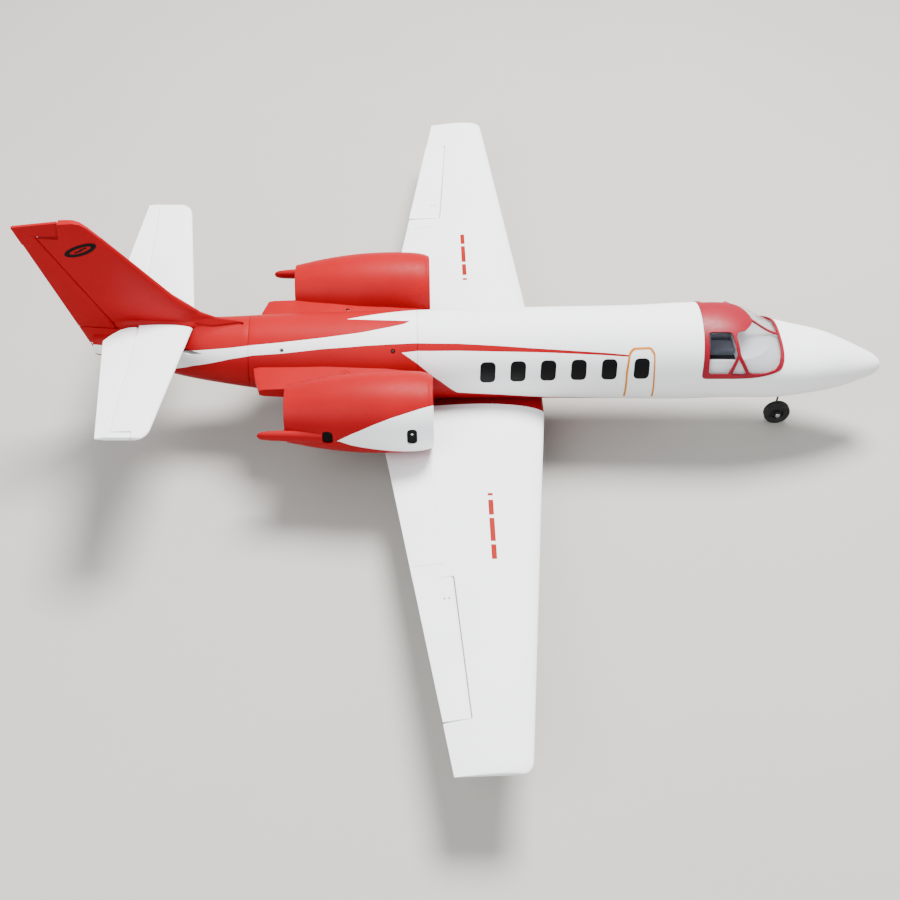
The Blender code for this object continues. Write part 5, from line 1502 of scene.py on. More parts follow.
def elevator_slot():
    """Slot in the tail's right side where the elevator pushrod comes out."""
    arm, horn = elevator_frames()
    tip = Vector((0, 0, -ARM_LENGTH))
    start = arm @ tip
    end = horn @ tip
    y = start.y - LINK_ROD_Y
    outline = []
    for share, rise in ((0.40, -0.0024), (1.00, -0.0024), (1.00, 0.0024), (0.40, 0.0024)):
        point = start.lerp(end, share)
        outline.append((point.x, point.z + rise))
    return prism("elevator_slot", outline, y - 0.0085, y + 0.0030)


def rudder_frames():
    """Linkage frames of the rudder, whose horn and arm stand out on the left side."""
    hinge = rudder_hinge()
    horn = shifted(hinge.matrix, 0.0, RUDDER_LINK_Y, 0.0)
    arm = Matrix.Translation((RUDDER_SERVO_REACH, 0.0, RUDDER_SERVO_RISE)) @ horn
    return arm, horn


STAB_ROUND_Y = 0.2060    # where the rounding of its tip begins


def build_stabilizer(side, label):
    rings = [stab_ring(y) for y in spaced(STAB_ROOT_Y, STAB_ROUND_Y, 0.0120)]
    for turn in quarter_turn(8):
        y = STAB_ROUND_Y + (STAB_TIP_Y - STAB_ROUND_Y) * math.sin(turn)
        depth = 1 - math.cos(turn)
        rings.append(stab_ring(y, 0.17 * depth, 1 - 0.45 * depth))
    body = loft("stabilizer", [mirrored(ring, side) for ring in rings])
    hinge = elevator_hinge(side)
    reach = max(hinge.radius) + HINGE_GAP
    cut(body, surface_cutter(hinge, 0.060))
    y0, y1 = sorted((side * (STAB_ROOT_Y - 0.004), side * (ELEVATOR_ROOT_Y + 0.001)))
    cut(body, box("root_cut", (-0.480, y0, 0.140), (STAB_HINGE_X + reach, y1, 0.190)))
    y0, y1 = sorted((side * (HORN_BALANCE_Y - HINGE_GAP), side * (STAB_TIP_Y + 0.01)))
    cut(body, box("balance_cut", (-0.450, y0, 0.150), (HORN_BALANCE_X + HINGE_GAP, y1, 0.220)))
    piece(body, f"stabilizer_{label}_skin", "white_foam", "airframe", "white_foam", f"stabilizer_{label}")


def build_elevator(side, label):
    """Elevator with its cut-away root and the balance horn at its tip."""
    hinge = elevator_hinge(side)
    to_local = hinge.matrix.inverted()
    rings = []
    outline = [(y, line_at(STAB_TE, y) if x is None else x) for y, x in ELEVATOR_OUTLINE]
    stations = []
    for (y0, x0), (y1, x1) in zip(outline, outline[1:]):
        for share in spaced(0.0, 1.0, max(0.05, 0.010 / (y1 - y0)))[:-1]:
            stations.append((y0 + (y1 - y0) * share, x0 + (x1 - x0) * share))
    stations.append(outline[-1])
    for y, trail_x in stations:
        local = to_local @ Vector((trail_x, side * y, line_at(STAB_Z, y)))
        nominal = (to_local @ Vector((line_at(STAB_TE, y), side * y, line_at(STAB_Z, y)))).x
        radius = hinge.radius_at(local.y)
        trail_half = radius + (TRAIL_HALF - radius) * local.x / nominal
        rings.append(surface_ring(local.y, local.x, radius, trail_half, 14))
    body = loft("elevator", rings, hinge.matrix)
    edge = Vector((STAB_HINGE_X, side * HORN_BALANCE_Y, line_at(STAB_Z, HORN_BALANCE_Y)))
    y0, y1 = ((to_local @ edge).y, hinge.length) if side > 0 else (0.0, (to_local @ edge).y)
    forward = HORN_BALANCE_X - STAB_HINGE_X
    join(body, box("balance", (-0.0040, y0, -0.0024), (forward, y1, 0.0024), hinge.matrix, 0.0011, 4))
    node = f"elevator_{label}"
    piece(body, f"{node}_skin", "white_foam", node, "white_foam", node)


DORSAL_FOOT_Z = 0.1680
DORSAL_BLUNT_Z = 0.1900


def dorsal_taper(z, share):
    """How much the dorsal fin is narrowed at a share of its chord: its front runs out to an edge."""
    low = min(1.0, max(0.0, (DORSAL_BLUNT_Z - z) / (DORSAL_BLUNT_Z - DORSAL_FOOT_Z)))
    return 1.0 - low * (1.0 - min(1.0, max(share, 0.0) / 0.20) ** 0.8)


FIN_STEPS = 24


def fin_skin_ring(z):
    """Fin section whose dorsal foot tapers forward into the fuselage."""
    lead, trail = fin_chord(z)
    if 0.1600 <= z < DORSAL_FOOT_Z:
        lead = fin_chord(DORSAL_FOOT_Z)[0]
    half = line_at(FIN_HALF, z)
    left = []
    right = []
    for share in chord_stations(FIN_STEPS):
        x = lead - share * (lead - trail)
        y = half * thickness_shape(share) * dorsal_taper(z, share)
        left.append((x, y, z))
        right.append((x, -y, z))
    return list(reversed(left)) + right[1:]


FILLET_X = (-0.2880, -0.3560)
FILLET_REACH = 0.0130


def fillet_section(x):
    """Cap over the fuselage that sweeps up into the fin's sides."""
    edge = [(row_x, row_z) for row_z, row_x in FIN_LE[3:]]
    crest = edge[0][1]
    for first, second in zip(edge, edge[1:]):
        if second[0] <= x <= first[0]:
            crest = line_at((first, second), x)
    top = fuselage_values(x)[0]
    reach = max(0.0004, min(FILLET_REACH, (crest - top) * 0.80))
    lead, trail = fin_chord(top + reach)
    half = 0.0
    if lead > x:
        half = fin_half(top + reach, x) * dorsal_taper(top + reach, (lead - x) / (lead - trail))
    low, high = 0.0, 80.0
    for _ in range(30):
        middle = (low + high) / 2
        if skin_point(x, middle, 1).y < half + reach * 1.3:
            low = middle
        else:
            high = middle
    foot = skin_point(x, low, 1)
    beyond = skin_point(x, low + 1.0, 1)
    slope = (beyond.z - foot.z) / (beyond.y - foot.y)
    knee = (half, foot.z + slope * (half - foot.y))
    crown = (half, max(top + reach, knee[1] + 0.0002))
    arc = []
    for share in spaced(0.0, 1.0, 0.0834):
        a, b, c = (1 - share) ** 2, 2 * share * (1 - share), share ** 2
        arc.append((a * crown[0] + b * knee[0] + c * foot.y, a * crown[1] + b * knee[1] + c * foot.z))
    ring = [(x, y, z) for y, z in arc]
    for turn in spaced(low, -low, low / 4):
        under = skin_point(x, abs(turn), 1, 0.0, 0.975)
        ring.append((x, under.y if turn >= 0 else -under.y, under.z))
    ring += [(x, -y - 0.00002, z) for y, z in reversed(arc)]
    return ring


def fin_servo_pocket():
    """Pocket for the rudder servo, shallower beside its arm, where the fin is thinner."""
    place = rudder_frames()[0]
    lugs = box("lugs", (-0.0168, -0.0210, -0.0300), (0.0200, -0.0062, 0.0061), place)
    case = box("case", (-0.0064, -0.0064, -0.0300), (0.0153, -0.0030, 0.0061), place)
    arm = box("arm", (-0.0168, -0.0032, -0.0300), (0.0120, 0.0045, 0.0040), place)
    return join(lugs, case, arm)


ROOT_FAIRING = ((-0.3290, 0.12, 0), (-0.3340, 0.42, 0), (-0.3430, 0.78, 0), (-0.3560, 1.0, 0),
                (-0.4200, 1.0, 0), (-0.4420, 0.55, 0))        # (x, share of its size), with z unused
ROOT_FAIRING_Z = 0.1662
CONE_END = ((0.0002, 0.0012), (0.0008, 0.0005), (0.0020, 0.0))    # (before the end, dip of the skin)


def build_tail_section():
    stations = spaced(TAIL_CONE_X, REAR_SEAM_X - GAP / 2, RING_PITCH)
    stations.reverse()
    inner = [fuselage_ring(x, -FOAM_WALL) for x in stations if x > -0.400]
    end_cap = [fuselage_ring(TAIL_CONE_X + reach, -dip) for reach, dip in CONE_END]
    outer = seamed_rings(stations[:-1], True, False) + list(reversed(end_cap))
    body = shell_loft("tail_section", outer, inner, inner_closed=True)
    heights = spaced(0.119, 0.168, 0.0035) + spaced(0.169, 0.190, 0.0015) + spaced(0.194, 0.3185, 0.0040)
    fin = loft("fin", [fin_skin_ring(z) for z in heights])
    cut(fin, fin_top_cutter())
    fairing = []
    for x, size, _ in smooth_line(ROOT_FAIRING, 5):
        half_width = STAB_ROOT_Y * min(size, 1.0) - GAP
        fairing.append(ellipse_ring(x, ROOT_FAIRING_Z, half_width, 0.0105 * size, 48))
    blend = loft("blend", [fillet_section(x) for x in spaced(*FILLET_X, 0.0030)])
    join(body, fin, blend, loft("fairing", fairing))
    cut(body, rudder_cutter(), fin_servo_pocket(), elevator_slot())
    piece(body, "tail_section_skin", "fuselage", "airframe", "red_foam", "tail_section")


def build_rudder():
    hinge = rudder_hinge()
    to_local = hinge.matrix.inverted()
    rings = []
    z0, z1 = RUDDER_BOTTOM[1], RUDDER_TOP[1]
    foot = to_local @ Vector((fin_chord(z0)[1], 0.0, z0))
    head = to_local @ Vector((fin_chord(z1)[1], 0.0, z1))
    for along in spaced(0.0, hinge.length, 0.0070):
        trail = line_at(((foot.y, foot.x), (head.y, head.x)), along)
        rings.append(surface_ring(along, trail, hinge.radius_at(along)))
    body = loft("rudder", rings, hinge.matrix)
    cut(body, box("bottom_trim", (-0.60, -0.03, 0.10), (-0.40, 0.03, RUDDER_BOTTOM[1])))
    outline = [
        (fin_chord(RUDDER_TOP[1] - 0.0120)[1], RUDDER_TOP[1] - 0.0120),
        (RUDDER_TOP[0] + 0.0006, RUDDER_TOP[1] - 0.0080),
        (RUDDER_TOP[0] + 0.0020, RUDDER_TOP[1]),
        (RUDDER_HORN_X, RUDDER_TOP[1]),
        (RUDDER_HORN_X + 0.0030, 0.3220),
        (FIN_TE_TOP[0], 0.3220),
        (FIN_TE_TOP[0], FIN_TE_TOP[1] - 0.0005),
    ]
    top = prism("rudder_horn", outline, -0.0021, 0.0021)
    cut(top, fin_top_cutter())
    join(body, top)
    piece(body, "rudder_skin", "red_foam", "rudder", "red_foam", "rudder")


BADGE_CENTRE = (-0.4660, 0.2796)       # (x, z)
BADGE_HALF = (0.0210, 0.0072)
BADGE_TILT = math.radians(22.5)
BADGE_RING = ((1.0, -0.0002), (1.0, MARK_TOP), (0.46, MARK_TOP), (0.46, -0.0002))    # (share, lift)
BADGE_BARS = ((-0.38, 0.10, -0.0006), (-0.05, 0.42, 0.0007))     # (start, end, rise)
BAR_CORNERS = ((-0.0002, 0.0010), (MARK_TOP, 0.0010), (MARK_TOP, -0.0010), (-0.0002, -0.0010))


def badge_point(angle, share):
    a = BADGE_HALF[0] * (1 - (1 - share) * 0.6) * math.cos(angle)
    b = BADGE_HALF[1] * share * math.sin(angle)
    x = BADGE_CENTRE[0] + a * math.cos(BADGE_TILT) - b * math.sin(BADGE_TILT)
    z = BADGE_CENTRE[1] + a * math.sin(BADGE_TILT) + b * math.cos(BADGE_TILT)
    return x, z


def build_badges():
    """Plain oval ring with a bar inside on each side of the fin."""
    for side, label in SIDES:
        rings = []
        for step in range(64):
            angle = 2 * math.pi * step / 64
            ring = []
            for share, lift in BADGE_RING:
                x, z = badge_point(angle, share)
                ring.append((x, side * (fin_half(z, x) + lift), z))
            rings.append(ring)
        bm = bmesh.new()
        rows = [[bm.verts.new(point) for point in ring] for ring in rings]
        for row, after in zip(rows, rows[1:] + rows[:1]):
            for j in range(4):
                k = (j + 1) % 4
                bm.faces.new((row[j], row[k], after[k], after[j]))
        oval = object_from_bmesh("oval", bm)
        bars = []
        for start, end, rise in BADGE_BARS:
            bar = []
            for share in spaced(start, end, 0.12):
                x = BADGE_CENTRE[0] + BADGE_HALF[0] * share * math.cos(BADGE_TILT)
                z = BADGE_CENTRE[1] + BADGE_HALF[0] * share * math.sin(BADGE_TILT) + rise
                half = fin_half(z, x)
                bar.append([(x, side * (half + lift), z + up) for lift, up in BAR_CORNERS])
            bars.append(loft("bar", bar))
        badge = gather("badge", [oval] + bars)
        piece(badge, f"fin_badge_{label}", "badge_black", "airframe", "black_plastic")


# ------------------------------------------------------------------ nacelles and fans
NACELLE_SKIN = ((-0.0030, 0.0448), (-0.0080, 0.0466), (-0.0200, 0.0486), (-0.0500, 0.0499),
                (-0.0850, 0.0490), (-0.1150, 0.0462), (-0.1450, 0.0416), (-0.1650, 0.0375),
                (-0.1776, 0.0349))           # (x from the lip, radius)
# Openings in the skin: distance behind the lip, degrees outboard of the top, two half sizes
VENT = (0.0260, 85.5, 0.0062, 0.0115)
STUB = (0.1262, 88.0, 0.0062, 0.0095)
NACELLE_LIP_R = 0.0415
LIP_ROUND = (0.0025, 0.0032)
RING_GROOVE = ((-0.0007, 0.0056), (0.0080, 0.0056), (0.0080, 0.0066), (-0.0007, 0.0066))


def outboard_frame(side, back, angle):
    """Frame on the nacelle's skin: Z outwards, X forward."""
    table = [(0.0, 0.0412)] + [(-a, r) for a, r in NACELLE_SKIN]
    radius = table[-1][1]
    for (a0, r0), (a1, r1) in zip(table, table[1:]):
        if a0 <= back <= a1:
            radius = line_at(((a0, r0), (a1, r1)), back)
            break
    turn = math.radians(angle)
    normal = Vector((0.0, side * math.sin(turn), math.cos(turn)))
    matrix = Matrix((Vector((1, 0, 0)), normal.cross(Vector((1, 0, 0))), normal)).transposed().to_4x4()
    matrix.translation = normal * radius + Vector((-back, 0, 0))
    return nacelle_frame(side) @ matrix


def recess_outline(half_x, half_y):
    corners = ((half_x, -half_y), (half_x, half_y), (-half_x, half_y), (-half_x, -half_y))
    return rounded_outline(corners, half_x * 0.9)


def nacelle_frame(side):
    """Frame at the inlet lip: +X forward along the duct axis."""
    x, y, z = NACELLE_LIP
    return Matrix.Translation((x, side * y, z)) @ Matrix.Rotation(-NACELLE_PITCH, 4, "Y")


def duct_profile():
    """Closed profile of the hole through the nacelle, from in front of the lip to behind it."""
    back = -NACELLE_LENGTH
    return [
        (0.004, 0.0),
        (0.004, 0.0385),
        (-0.001, 0.0365),
        (-0.006, 0.0345),
        (-0.016, 0.0330),
        (-HOUSING_SPAN[0] + GAP, 0.0327),
        (-HOUSING_SPAN[0] + GAP, DUCT_R),
        (-HOUSING_SPAN[1] - 0.001, DUCT_R),
        (back, EXHAUST_R[1] + 2 * GAP),
        (back - 0.0005, EXHAUST_R[1] + 2 * GAP),
        (back - 0.0005, 0.0),
    ]


def pylon_ring(y, lead, trail, half):
    """Blunt-tailed slab section in the x-z plane."""
    ring = []
    for x_share, half_share in PYLON_SHAPE:
        ring.append((lead + (trail - lead) * x_share, y, PYLON_Z + half * half_share))
    for x_share, half_share in reversed(PYLON_SHAPE[1:]):
        ring.append((lead + (trail - lead) * x_share, y, PYLON_Z - half * half_share))
    return ring


def fairing_ring(side, x, offset, half_y, half_z, sides=40):
    ring = []
    for step in range(sides):
        angle = 2 * math.pi * (step + 0.5) / sides
        ring.append((x, side * (offset + half_y * math.cos(angle)), half_z * math.sin(angle)))
    return ring


def build_nacelle(side, label):
    """Foam nacelle with its pylon and the two tail fairings of the thrust reverser."""
    frame_here = nacelle_frame(side)
    back = -NACELLE_LENGTH
    skin = [(0.0, 0.0), (0.0, NACELLE_LIP_R)]
    for turn in quarter_turn(6):
        skin.append((-LIP_ROUND[0] * (1 - math.cos(turn)), NACELLE_LIP_R + LIP_ROUND[1] * math.sin(turn)))
    skin += [(point.x, point.y) for point in smooth_line(NACELLE_SKIN, 7)]
    skin += [(back, 0.0342), (back, 0.0)]
    body = turned("nacelle", skin, 120, frame_here)
    sections = [Vector(row) for row in PYLON_SECTIONS]
    pylon = []
    for share in spaced(0.0, 1.0, 0.1):
        if share < 0.5:
            row = sections[0].lerp(sections[1], min(share * 2, 1.0))
        else:
            row = sections[1].lerp(sections[2], share * 2 - 1.0)
        pylon.append(pylon_ring(side * row[0], row[1], row[2], row[3]))
    join(body, loft("pylon", pylon))
    rows = smooth_line(FAIRING_SECTIONS, 5)
    join(body, loft("fairing", [fairing_ring(side, *row) for row in rows], frame_here))
    cut(body, turned("duct", duct_profile(), 120, frame_here))
    cut(body, fuselage_envelope(GAP, -0.330, 0.060))
    x, y, z = PYLON_SCREW
    y *= side
    cut(body, cylinder("recess", SCREW_RECESS_R * 0.8, (x, y, z - 0.0022), (x, y, z + 0.01), 32))
    cut(body, turned("ring", RING_GROOVE, 48, Matrix.Translation((x, y, z)), "Z"))
    for distance, angle, half_x, half_y in (VENT, STUB):
        place = outboard_frame(side, distance, angle)
        cut(body, prism("vent", recess_outline(half_x, half_y), -0.0034, 0.0060, "XY", place))
    piece(body, f"nacelle_{label}_skin", f"nacelle_{label}", "airframe", "red_foam", f"nacelle_{label}")
    inserts = []
    for distance, angle, half_x, half_y in (VENT, STUB):
        place = outboard_frame(side, distance, angle)
        outline = recess_outline(half_x - GAP, half_y - GAP)
        inserts.append(prism("insert", outline, -0.0044, -0.0024, "XY", place))
    piece(gather("inserts", inserts), f"nacelle_{label}_vents", "vent_black", "airframe", "black_plastic")
    place = outboard_frame(side, VENT[0], VENT[1])
    pin = stud(place @ Vector((0, -0.0035 * side, -0.0018)), place.to_3x3().col[2], 0.0016)
    piece(pin, f"nacelle_{label}_magnet", "wire", "airframe", "steel_wire")


BLADE_SPAN = (0.0135, 0.0318)
BLADE_PITCH = 48.0       # degrees at the root
BLADE_TWIST = 21.0       # less at the tip


def finish_fan_part(item, node, look, slot="black_plastic", body="airframe"):
    """Finish a fine drawing of one CAD node of the power unit."""
    return piece(item, f"{node}_fine", look, body, slot, node)


def build_fan(side, label):
    place = nacelle_frame(side)
    front, back = (-HOUSING_SPAN[0], -HOUSING_SPAN[1])
    outer = DUCT_R - GAP
    ring = [(back, outer), (back, FAN_BORE_R), (front - 0.001, FAN_BORE_R), (front, FAN_BORE_R + 0.0004),
            (front, outer)]
    body = turned("housing", ring, 96, place)
    cup_front = -0.0500
    cup = [(back, FAN_HUB_R), (cup_front, FAN_HUB_R), (cup_front, 0.0030), (cup_front - 0.0015, 0.0030),
           (cup_front - 0.0015, MOTOR_R + GAP), (back, MOTOR_R + GAP)]
    tools = [turned("cup", cup, 64, place)]
    for index in range(VANE_COUNT):
        turn = Matrix.Rotation(2 * math.pi * index / VANE_COUNT, 4, "X")
        rings = []
        for radius in spaced(FAN_HUB_R - 0.0010, FAN_BORE_R + 0.0008, 0.0045):
            rings.append(vane_ring(radius))
        tools.append(loft("vane", rings, place @ turn))
    join(body, tools[1], tools[0], *tools[2:])
    finish_fan_part(body, f"fan_housing_{label}", "black_plastic")
    can = [(-0.0518, 0.0), (-0.0518, MOTOR_R - 0.0012), (-0.0530, MOTOR_R - GAP), (-0.0778, MOTOR_R - GAP),
           (-0.0790, MOTOR_R - 0.0012), (-0.0790, 0.0)]
    motor = turned("can", can, 64, place)
    join(motor, cylinder("shaft", 0.0012, (-0.0430, 0, 0), (-0.0600, 0, 0), 24, place))
    finish_fan_part(motor, f"fan_motor_{label}", "motor", "motor_metal")
    rotor_place = place @ Matrix.Translation((-FAN_STATION, 0, 0))
    hub = [(0.0170, 0.0)]
    for turn in quarter_turn(12):
        hub.append((-0.0005 + 0.0175 * math.cos(turn), 0.0153 * math.sin(turn)))
    hub += [(-0.0070, 0.0155), (-0.0070, 0.0016), (-0.0010, 0.0016), (-0.0010, 0.0)]
    rotor = turned("hub", hub, 64, rotor_place)
    for index in range(BLADE_COUNT):
        turn = Matrix.Rotation(2 * math.pi * index / BLADE_COUNT, 4, "X")
        rings = []
        for share in spaced(0.0, 1.0, 0.12):
            radius = BLADE_SPAN[0] + (BLADE_SPAN[1] - BLADE_SPAN[0]) * share
            chord = 0.0120 + 0.0030 * math.sin(math.pi * share) - 0.0020 * share
            pitch = math.radians(BLADE_PITCH - BLADE_TWIST * share)
            rings.append(blade_ring(radius, chord, pitch, side))
        join(rotor, loft("blade", rings, rotor_place @ turn))
    finish_fan_part(rotor, f"fan_rotor_{label}", "black_plastic", body=f"fan_{label}")
    wide, narrow = EXHAUST_R
    front = -HOUSING_SPAN[1] - 0.0005
    rear = -NACELLE_LENGTH + 0.0004
    tube = [(rear, narrow), (front, wide), (front, wide - EXHAUST_WALL), (rear, narrow - EXHAUST_WALL)]
    tail = turned("tube", tube, 96, place)
    finish_fan_part(tail, f"exhaust_tube_{label}", "black_plastic")


def section_walk(count=9):
    """(face, chord share) round a thin section: along one face, then back along the other."""
    shares = [step / (count - 1) for step in range(count)]
    return [(1, share) for share in shares] + [(-1, 1 - share) for share in shares[1:-1]]


def vane_ring(radius):
    """Thin cambered stator section, leading edge forward."""
    ring = []
    for sign, share in section_walk():
        swell = math.sin(math.pi * share) ** 0.6
        ring.append((-0.0570 - 0.0150 * share, 0.0020 * (share - 1.0) ** 2 + sign * 0.0007 * swell, radius))
    return ring


def blade_ring(radius, chord, pitch, side):
    """Cambered blade section at a radius, set at its pitch."""
    ring = []
    for sign, share in section_walk():
        along = share - 0.5
        thick = sign * 0.0006 * math.sin(math.pi * share) ** 0.6 + 0.0011 * math.sin(math.pi * share)
        x = along * chord * math.sin(pitch) + thick * math.cos(pitch)
        y = side * (along * chord * math.cos(pitch) - thick * math.sin(pitch))
        ring.append((x, y, radius))
    return ring


# ------------------------------------------------------------------ landing gear
SPOKES = 5


def build_wheel(name, centre, radius, width, body):
    """Foam-rubber tyre and its spoked plastic hub, turned about the axle."""
    place = Matrix.Translation(centre)
    inner = radius * 0.58
    half = width / 2
    side_wall = [(half * 0.84, inner), (half * 0.97, inner + 0.0014), (half, inner + 0.0030)]
    crown = []
    for turn in [0.0] + quarter_turn(12):
        along = half * (0.30 + 0.70 * math.cos(turn) ** 0.8)
        crown.append((along, radius - half * 0.80 * (1 - math.sin(turn) ** 0.9)))
    tread = [(half * 0.10, radius), (half * 0.07, radius - 0.0006)]
    right = side_wall + crown + tread
    tyre = right + [(-along, height) for along, height in reversed(right)]
    rubber = turned("tyre", tyre, 96, place, "Y")
    piece(rubber, f"{name}_tyre_fine", "tyre", body, "black_tyre", f"{name}_tyre")
    rim = inner - GAP
    hub_half = half * 0.92
    web = hub_half * 0.34
    boss = WIRE_R + 0.0028
    profile = [(hub_half, WIRE_R + GAP), (hub_half, boss - 0.0003), (hub_half - 0.0003, boss),
               (web, boss + 0.0005), (web, rim - 0.0024), (hub_half - 0.0006, rim - 0.0012),
               (hub_half, rim - 0.0008), (hub_half, rim)]
    mirror = [(-along, height) for along, height in reversed(profile)]
    hub = turned("hub", profile + mirror, 72, place, "Y")
    middle = (boss + rim) / 2 - 0.0006
    hole = (rim - boss) * 0.27
    for index in range(SPOKES):
        turn = 2 * math.pi * index / SPOKES + 0.3
        spot = Vector(centre) + Vector((middle * math.cos(turn), 0, middle * math.sin(turn)))
        cut(hub, cylinder("hole", hole, spot - Vector((0, half, 0)), spot + Vector((0, half, 0)), 24))
    piece(hub, f"{name}_hub_fine", "black_plastic", body, "white_plastic", f"{name}_hub")


NOSE_LEG_CRANK = 0.0105   # the leg passes the wheel on its left
SPRING_R = 0.0032
SPRING_STEPS = 72


def build_nose_gear():
    x, _, z = NOSE_WHEEL
    side = NOSE_LEG_CRANK
    points = [(x, 0, 0.1060), (x, 0, 0.0560), (x, 0.0020, 0.0515), (x, side - 0.0020, 0.0435),
              (x, side, 0.0390), (x, side, z + 0.0010), (x, side - 0.0036, z), (x, -0.0086, z)]
    leg = wire("leg", points, WIRE_R, 0.0030)
    coil = []
    for step in range(SPRING_STEPS + 1):
        turn = 2 * math.pi * step / 24
        rise = 0.0105 * step / SPRING_STEPS
        coil.append((x + SPRING_R * math.cos(turn), SPRING_R * math.sin(turn), 0.0570 + rise))
    spring = wire("spring", coil, 0.0011, 0.0, 4)
    collar = cylinder("collar", 0.0042, (x, 0, NOSE_MOUNT_TOP + GAP), (x, 0, 0.1035), 32)
    low = (x - 0.0025, -0.0130, NOSE_MOUNT_TOP + GAP)
    join(collar, box("arm", low, (x + 0.0025, 0.0130, 0.1008), None, 0.0006))
    piece(leg, "nose_gear_leg_fine", "wire", "nose_gear", "steel_wire", "nose_gear_leg")
    piece(spring, "nose_gear_spring", "wire", "nose_gear", "steel_wire")
    piece(collar, "nose_gear_steering_arm", "black_plastic", "nose_gear", "steel_wire")
    build_wheel("nose", NOSE_WHEEL, NOSE_WHEEL[2], 0.0120, "nose_wheel")
    axle_collar("nose_axle_collar", (x, -0.0064, z), -1, "nose_gear")


def axle_collar(name, spot, side, body):
    """Wheel collar at the end of an axle."""
    x, y, z = spot
    profile = [(0.0, WIRE_R), (0.0, 0.0030), (0.0003, 0.0033), (0.0015, 0.0033), (0.0018, 0.0030),
               (0.0018, WIRE_R)]
    place = Matrix.Translation((x, y, z)) @ Matrix.Diagonal((1, side, 1, 1))
    item = turned("collar", profile, 32, place, "Y")
    piece(item, name, "wire", body, "steel_wire")


def build_main_gear(side, label):
    x, y, z = MAIN_WHEEL
    strut = MAIN_STRUT_Y
    points = [(x, strut, MAIN_LEG_TOP), (x, strut, z + 0.0010), (x, strut + 0.0050, z), (x, y + 0.0105, z)]
    leg = wire("leg", mirrored(points, side), WIRE_R, 0.0036)
    piece(leg, f"main_gear_leg_{label}_fine", "wire", "airframe", "steel_wire", f"main_gear_leg_{label}")
    middle, half = wing_mid(strut, x)
    skin = middle - half
    low = (x - 0.0110, strut - 0.0080, skin - 0.0010)
    high = (x + 0.0110, strut + 0.0080, skin + 0.0012)
    plate = box("plate", low, high, None, 0.0006)
    for vert in plate.data.vertices:
        vert.co.y *= side
    if side < 0:
        plate.data.flip_normals()
    piece(plate, f"main_gear_plate_{label}", "white_plastic", "airframe", "white_plastic")
    build_wheel(f"main_{label}", (x, side * y, z), z, 0.0150, f"main_wheel_{label}")
    axle_collar(f"main_axle_collar_{label}", (x, side * (y + 0.0078), z), side, "airframe")


# ------------------------------------------------------------------ carried-over CAD pieces
CARRIED = {
    "battery": "battery",
    "receiver": "circuit",
    "speed_controller_left": "circuit",
    "speed_controller_right": "circuit",
    "wing_spar": "carbon",
    "stabilizer_spar": "carbon",
    "nose_gear_mount": "white_plastic",
    "steering_servo": "black_plastic",
    "aileron_servo_left": "black_plastic",
    "aileron_servo_right": "black_plastic",
    "elevator_servo": "black_plastic",
    "rudder_servo": "black_plastic",
}


def dress_carried():
    """Give the CAD pieces that stay visible their finished materials."""
    looks = dict(CARRIED)
    for prefix in ("aileron_left", "aileron_right", "elevator", "rudder"):
        looks[f"{prefix}_servo_arm"] = "white_plastic"
        looks[f"{prefix}_horn"] = "white_plastic"
        looks[f"{prefix}_pushrod"] = "wire"
    for node, look in looks.items():
        item = frame["nodes"][node]
        item.data.materials.clear()
        item.data.materials.append(LOOKS[look])


# ------------------------------------------------------------------ stage, light and camera
LAMP_AIM = (0.0, 0.0, 0.1)
KEY_WATTS = 310.0        # from above the far side
FILL_WATTS = 70.0        # from the camera's side
SKY_STRENGTH = 0.95


def area_light(name, place, aim, size, power, color):
    lamp = bpy.data.lights.new(name, "AREA")
    lamp.shape = "DISK"
    lamp.size = size
    lamp.energy = power
    lamp.color = color
    item = bpy.data.objects.new(name, lamp)
    bpy.context.scene.collection.objects.link(item)
    item.location = place
    item.rotation_euler = (Vector(aim) - Vector(place)).to_track_quat("-Z", "Y").to_euler()


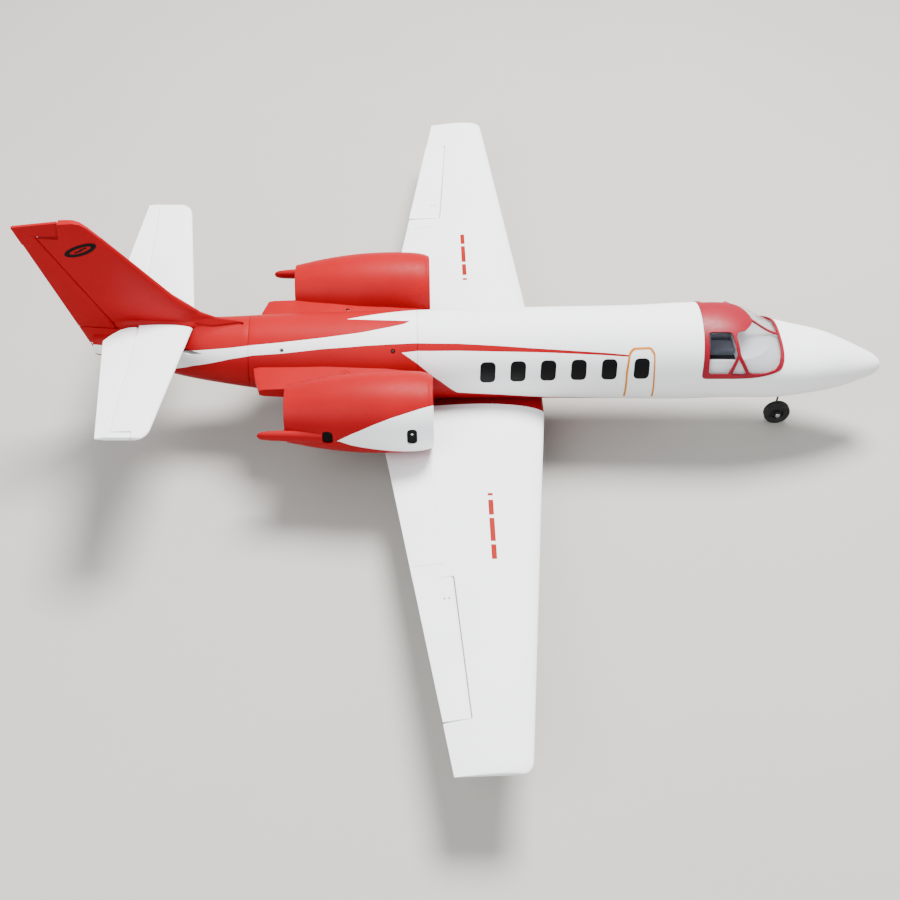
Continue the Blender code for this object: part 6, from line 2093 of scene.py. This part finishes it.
def build_stage():
    bm = bmesh.new()
    bmesh.ops.create_grid(bm, x_segments=8, y_segments=8, size=6.0)
    mesh = bpy.data.meshes.new("studio_floor")
    bm.to_mesh(mesh)
    bm.free()
    floor = bpy.data.objects.new("studio_floor", mesh)
    bpy.context.scene.collection.objects.link(floor)
    floor.data.materials.append(floor_material())
    world = bpy.data.worlds.new("studio")
    bpy.context.scene.world = world
    world.use_nodes = True
    background = world.node_tree.nodes["Background"]
    background.inputs[0].default_value = (0.93, 0.96, 1.0, 1.0)
    background.inputs[1].default_value = SKY_STRENGTH
    area_light("key", (0.5, 0.9, 2.8), LAMP_AIM, 1.3, KEY_WATTS, (1.0, 0.99, 0.97))
    area_light("fill", (-1.4, -1.9, 2.2), LAMP_AIM, 2.2, FILL_WATTS, (0.96, 0.98, 1.0))


# The camera stands to the right of the tail cone, above the model, and looks down to its left.
CAMERA_PLACE = (-0.09826, -1.20255, 1.18161)
CAMERA_RIGHT = (0.99892, -0.02910, 0.03610)
CAMERA_UP = (-0.00421, 0.71842, 0.69560)
CAMERA_FORWARD = (0.04618, 0.69500, -0.71752)
CAMERA_LENS = 49.77


def build_camera():
    data = bpy.data.cameras.new("camera")
    data.lens = CAMERA_LENS
    data.sensor_width = 36.0
    item = bpy.data.objects.new("camera", data)
    bpy.context.scene.collection.objects.link(item)
    columns = (Vector(CAMERA_RIGHT), Vector(CAMERA_UP), -Vector(CAMERA_FORWARD))
    item.matrix_world = Matrix.Translation(CAMERA_PLACE) @ Matrix(columns).transposed().to_4x4()
    bpy.context.scene.camera = item


def build_all():
    build_stage()
    build_camera()
    build_fuselage()
    build_cabin_markings()
    build_canopy()
    build_cockpit()
    build_belly_fairing()
    build_tail_section()
    build_rudder()
    build_badges()
    build_wing_marks()
    build_screws()
    build_nose_gear()
    for side, label in SIDES:
        build_wing(side, label)
        build_aileron(side, label)
        build_stabilizer(side, label)
        build_elevator(side, label)
        build_nacelle(side, label)
        build_fan(side, label)
        build_main_gear(side, label)
    dress_carried()


build_all()
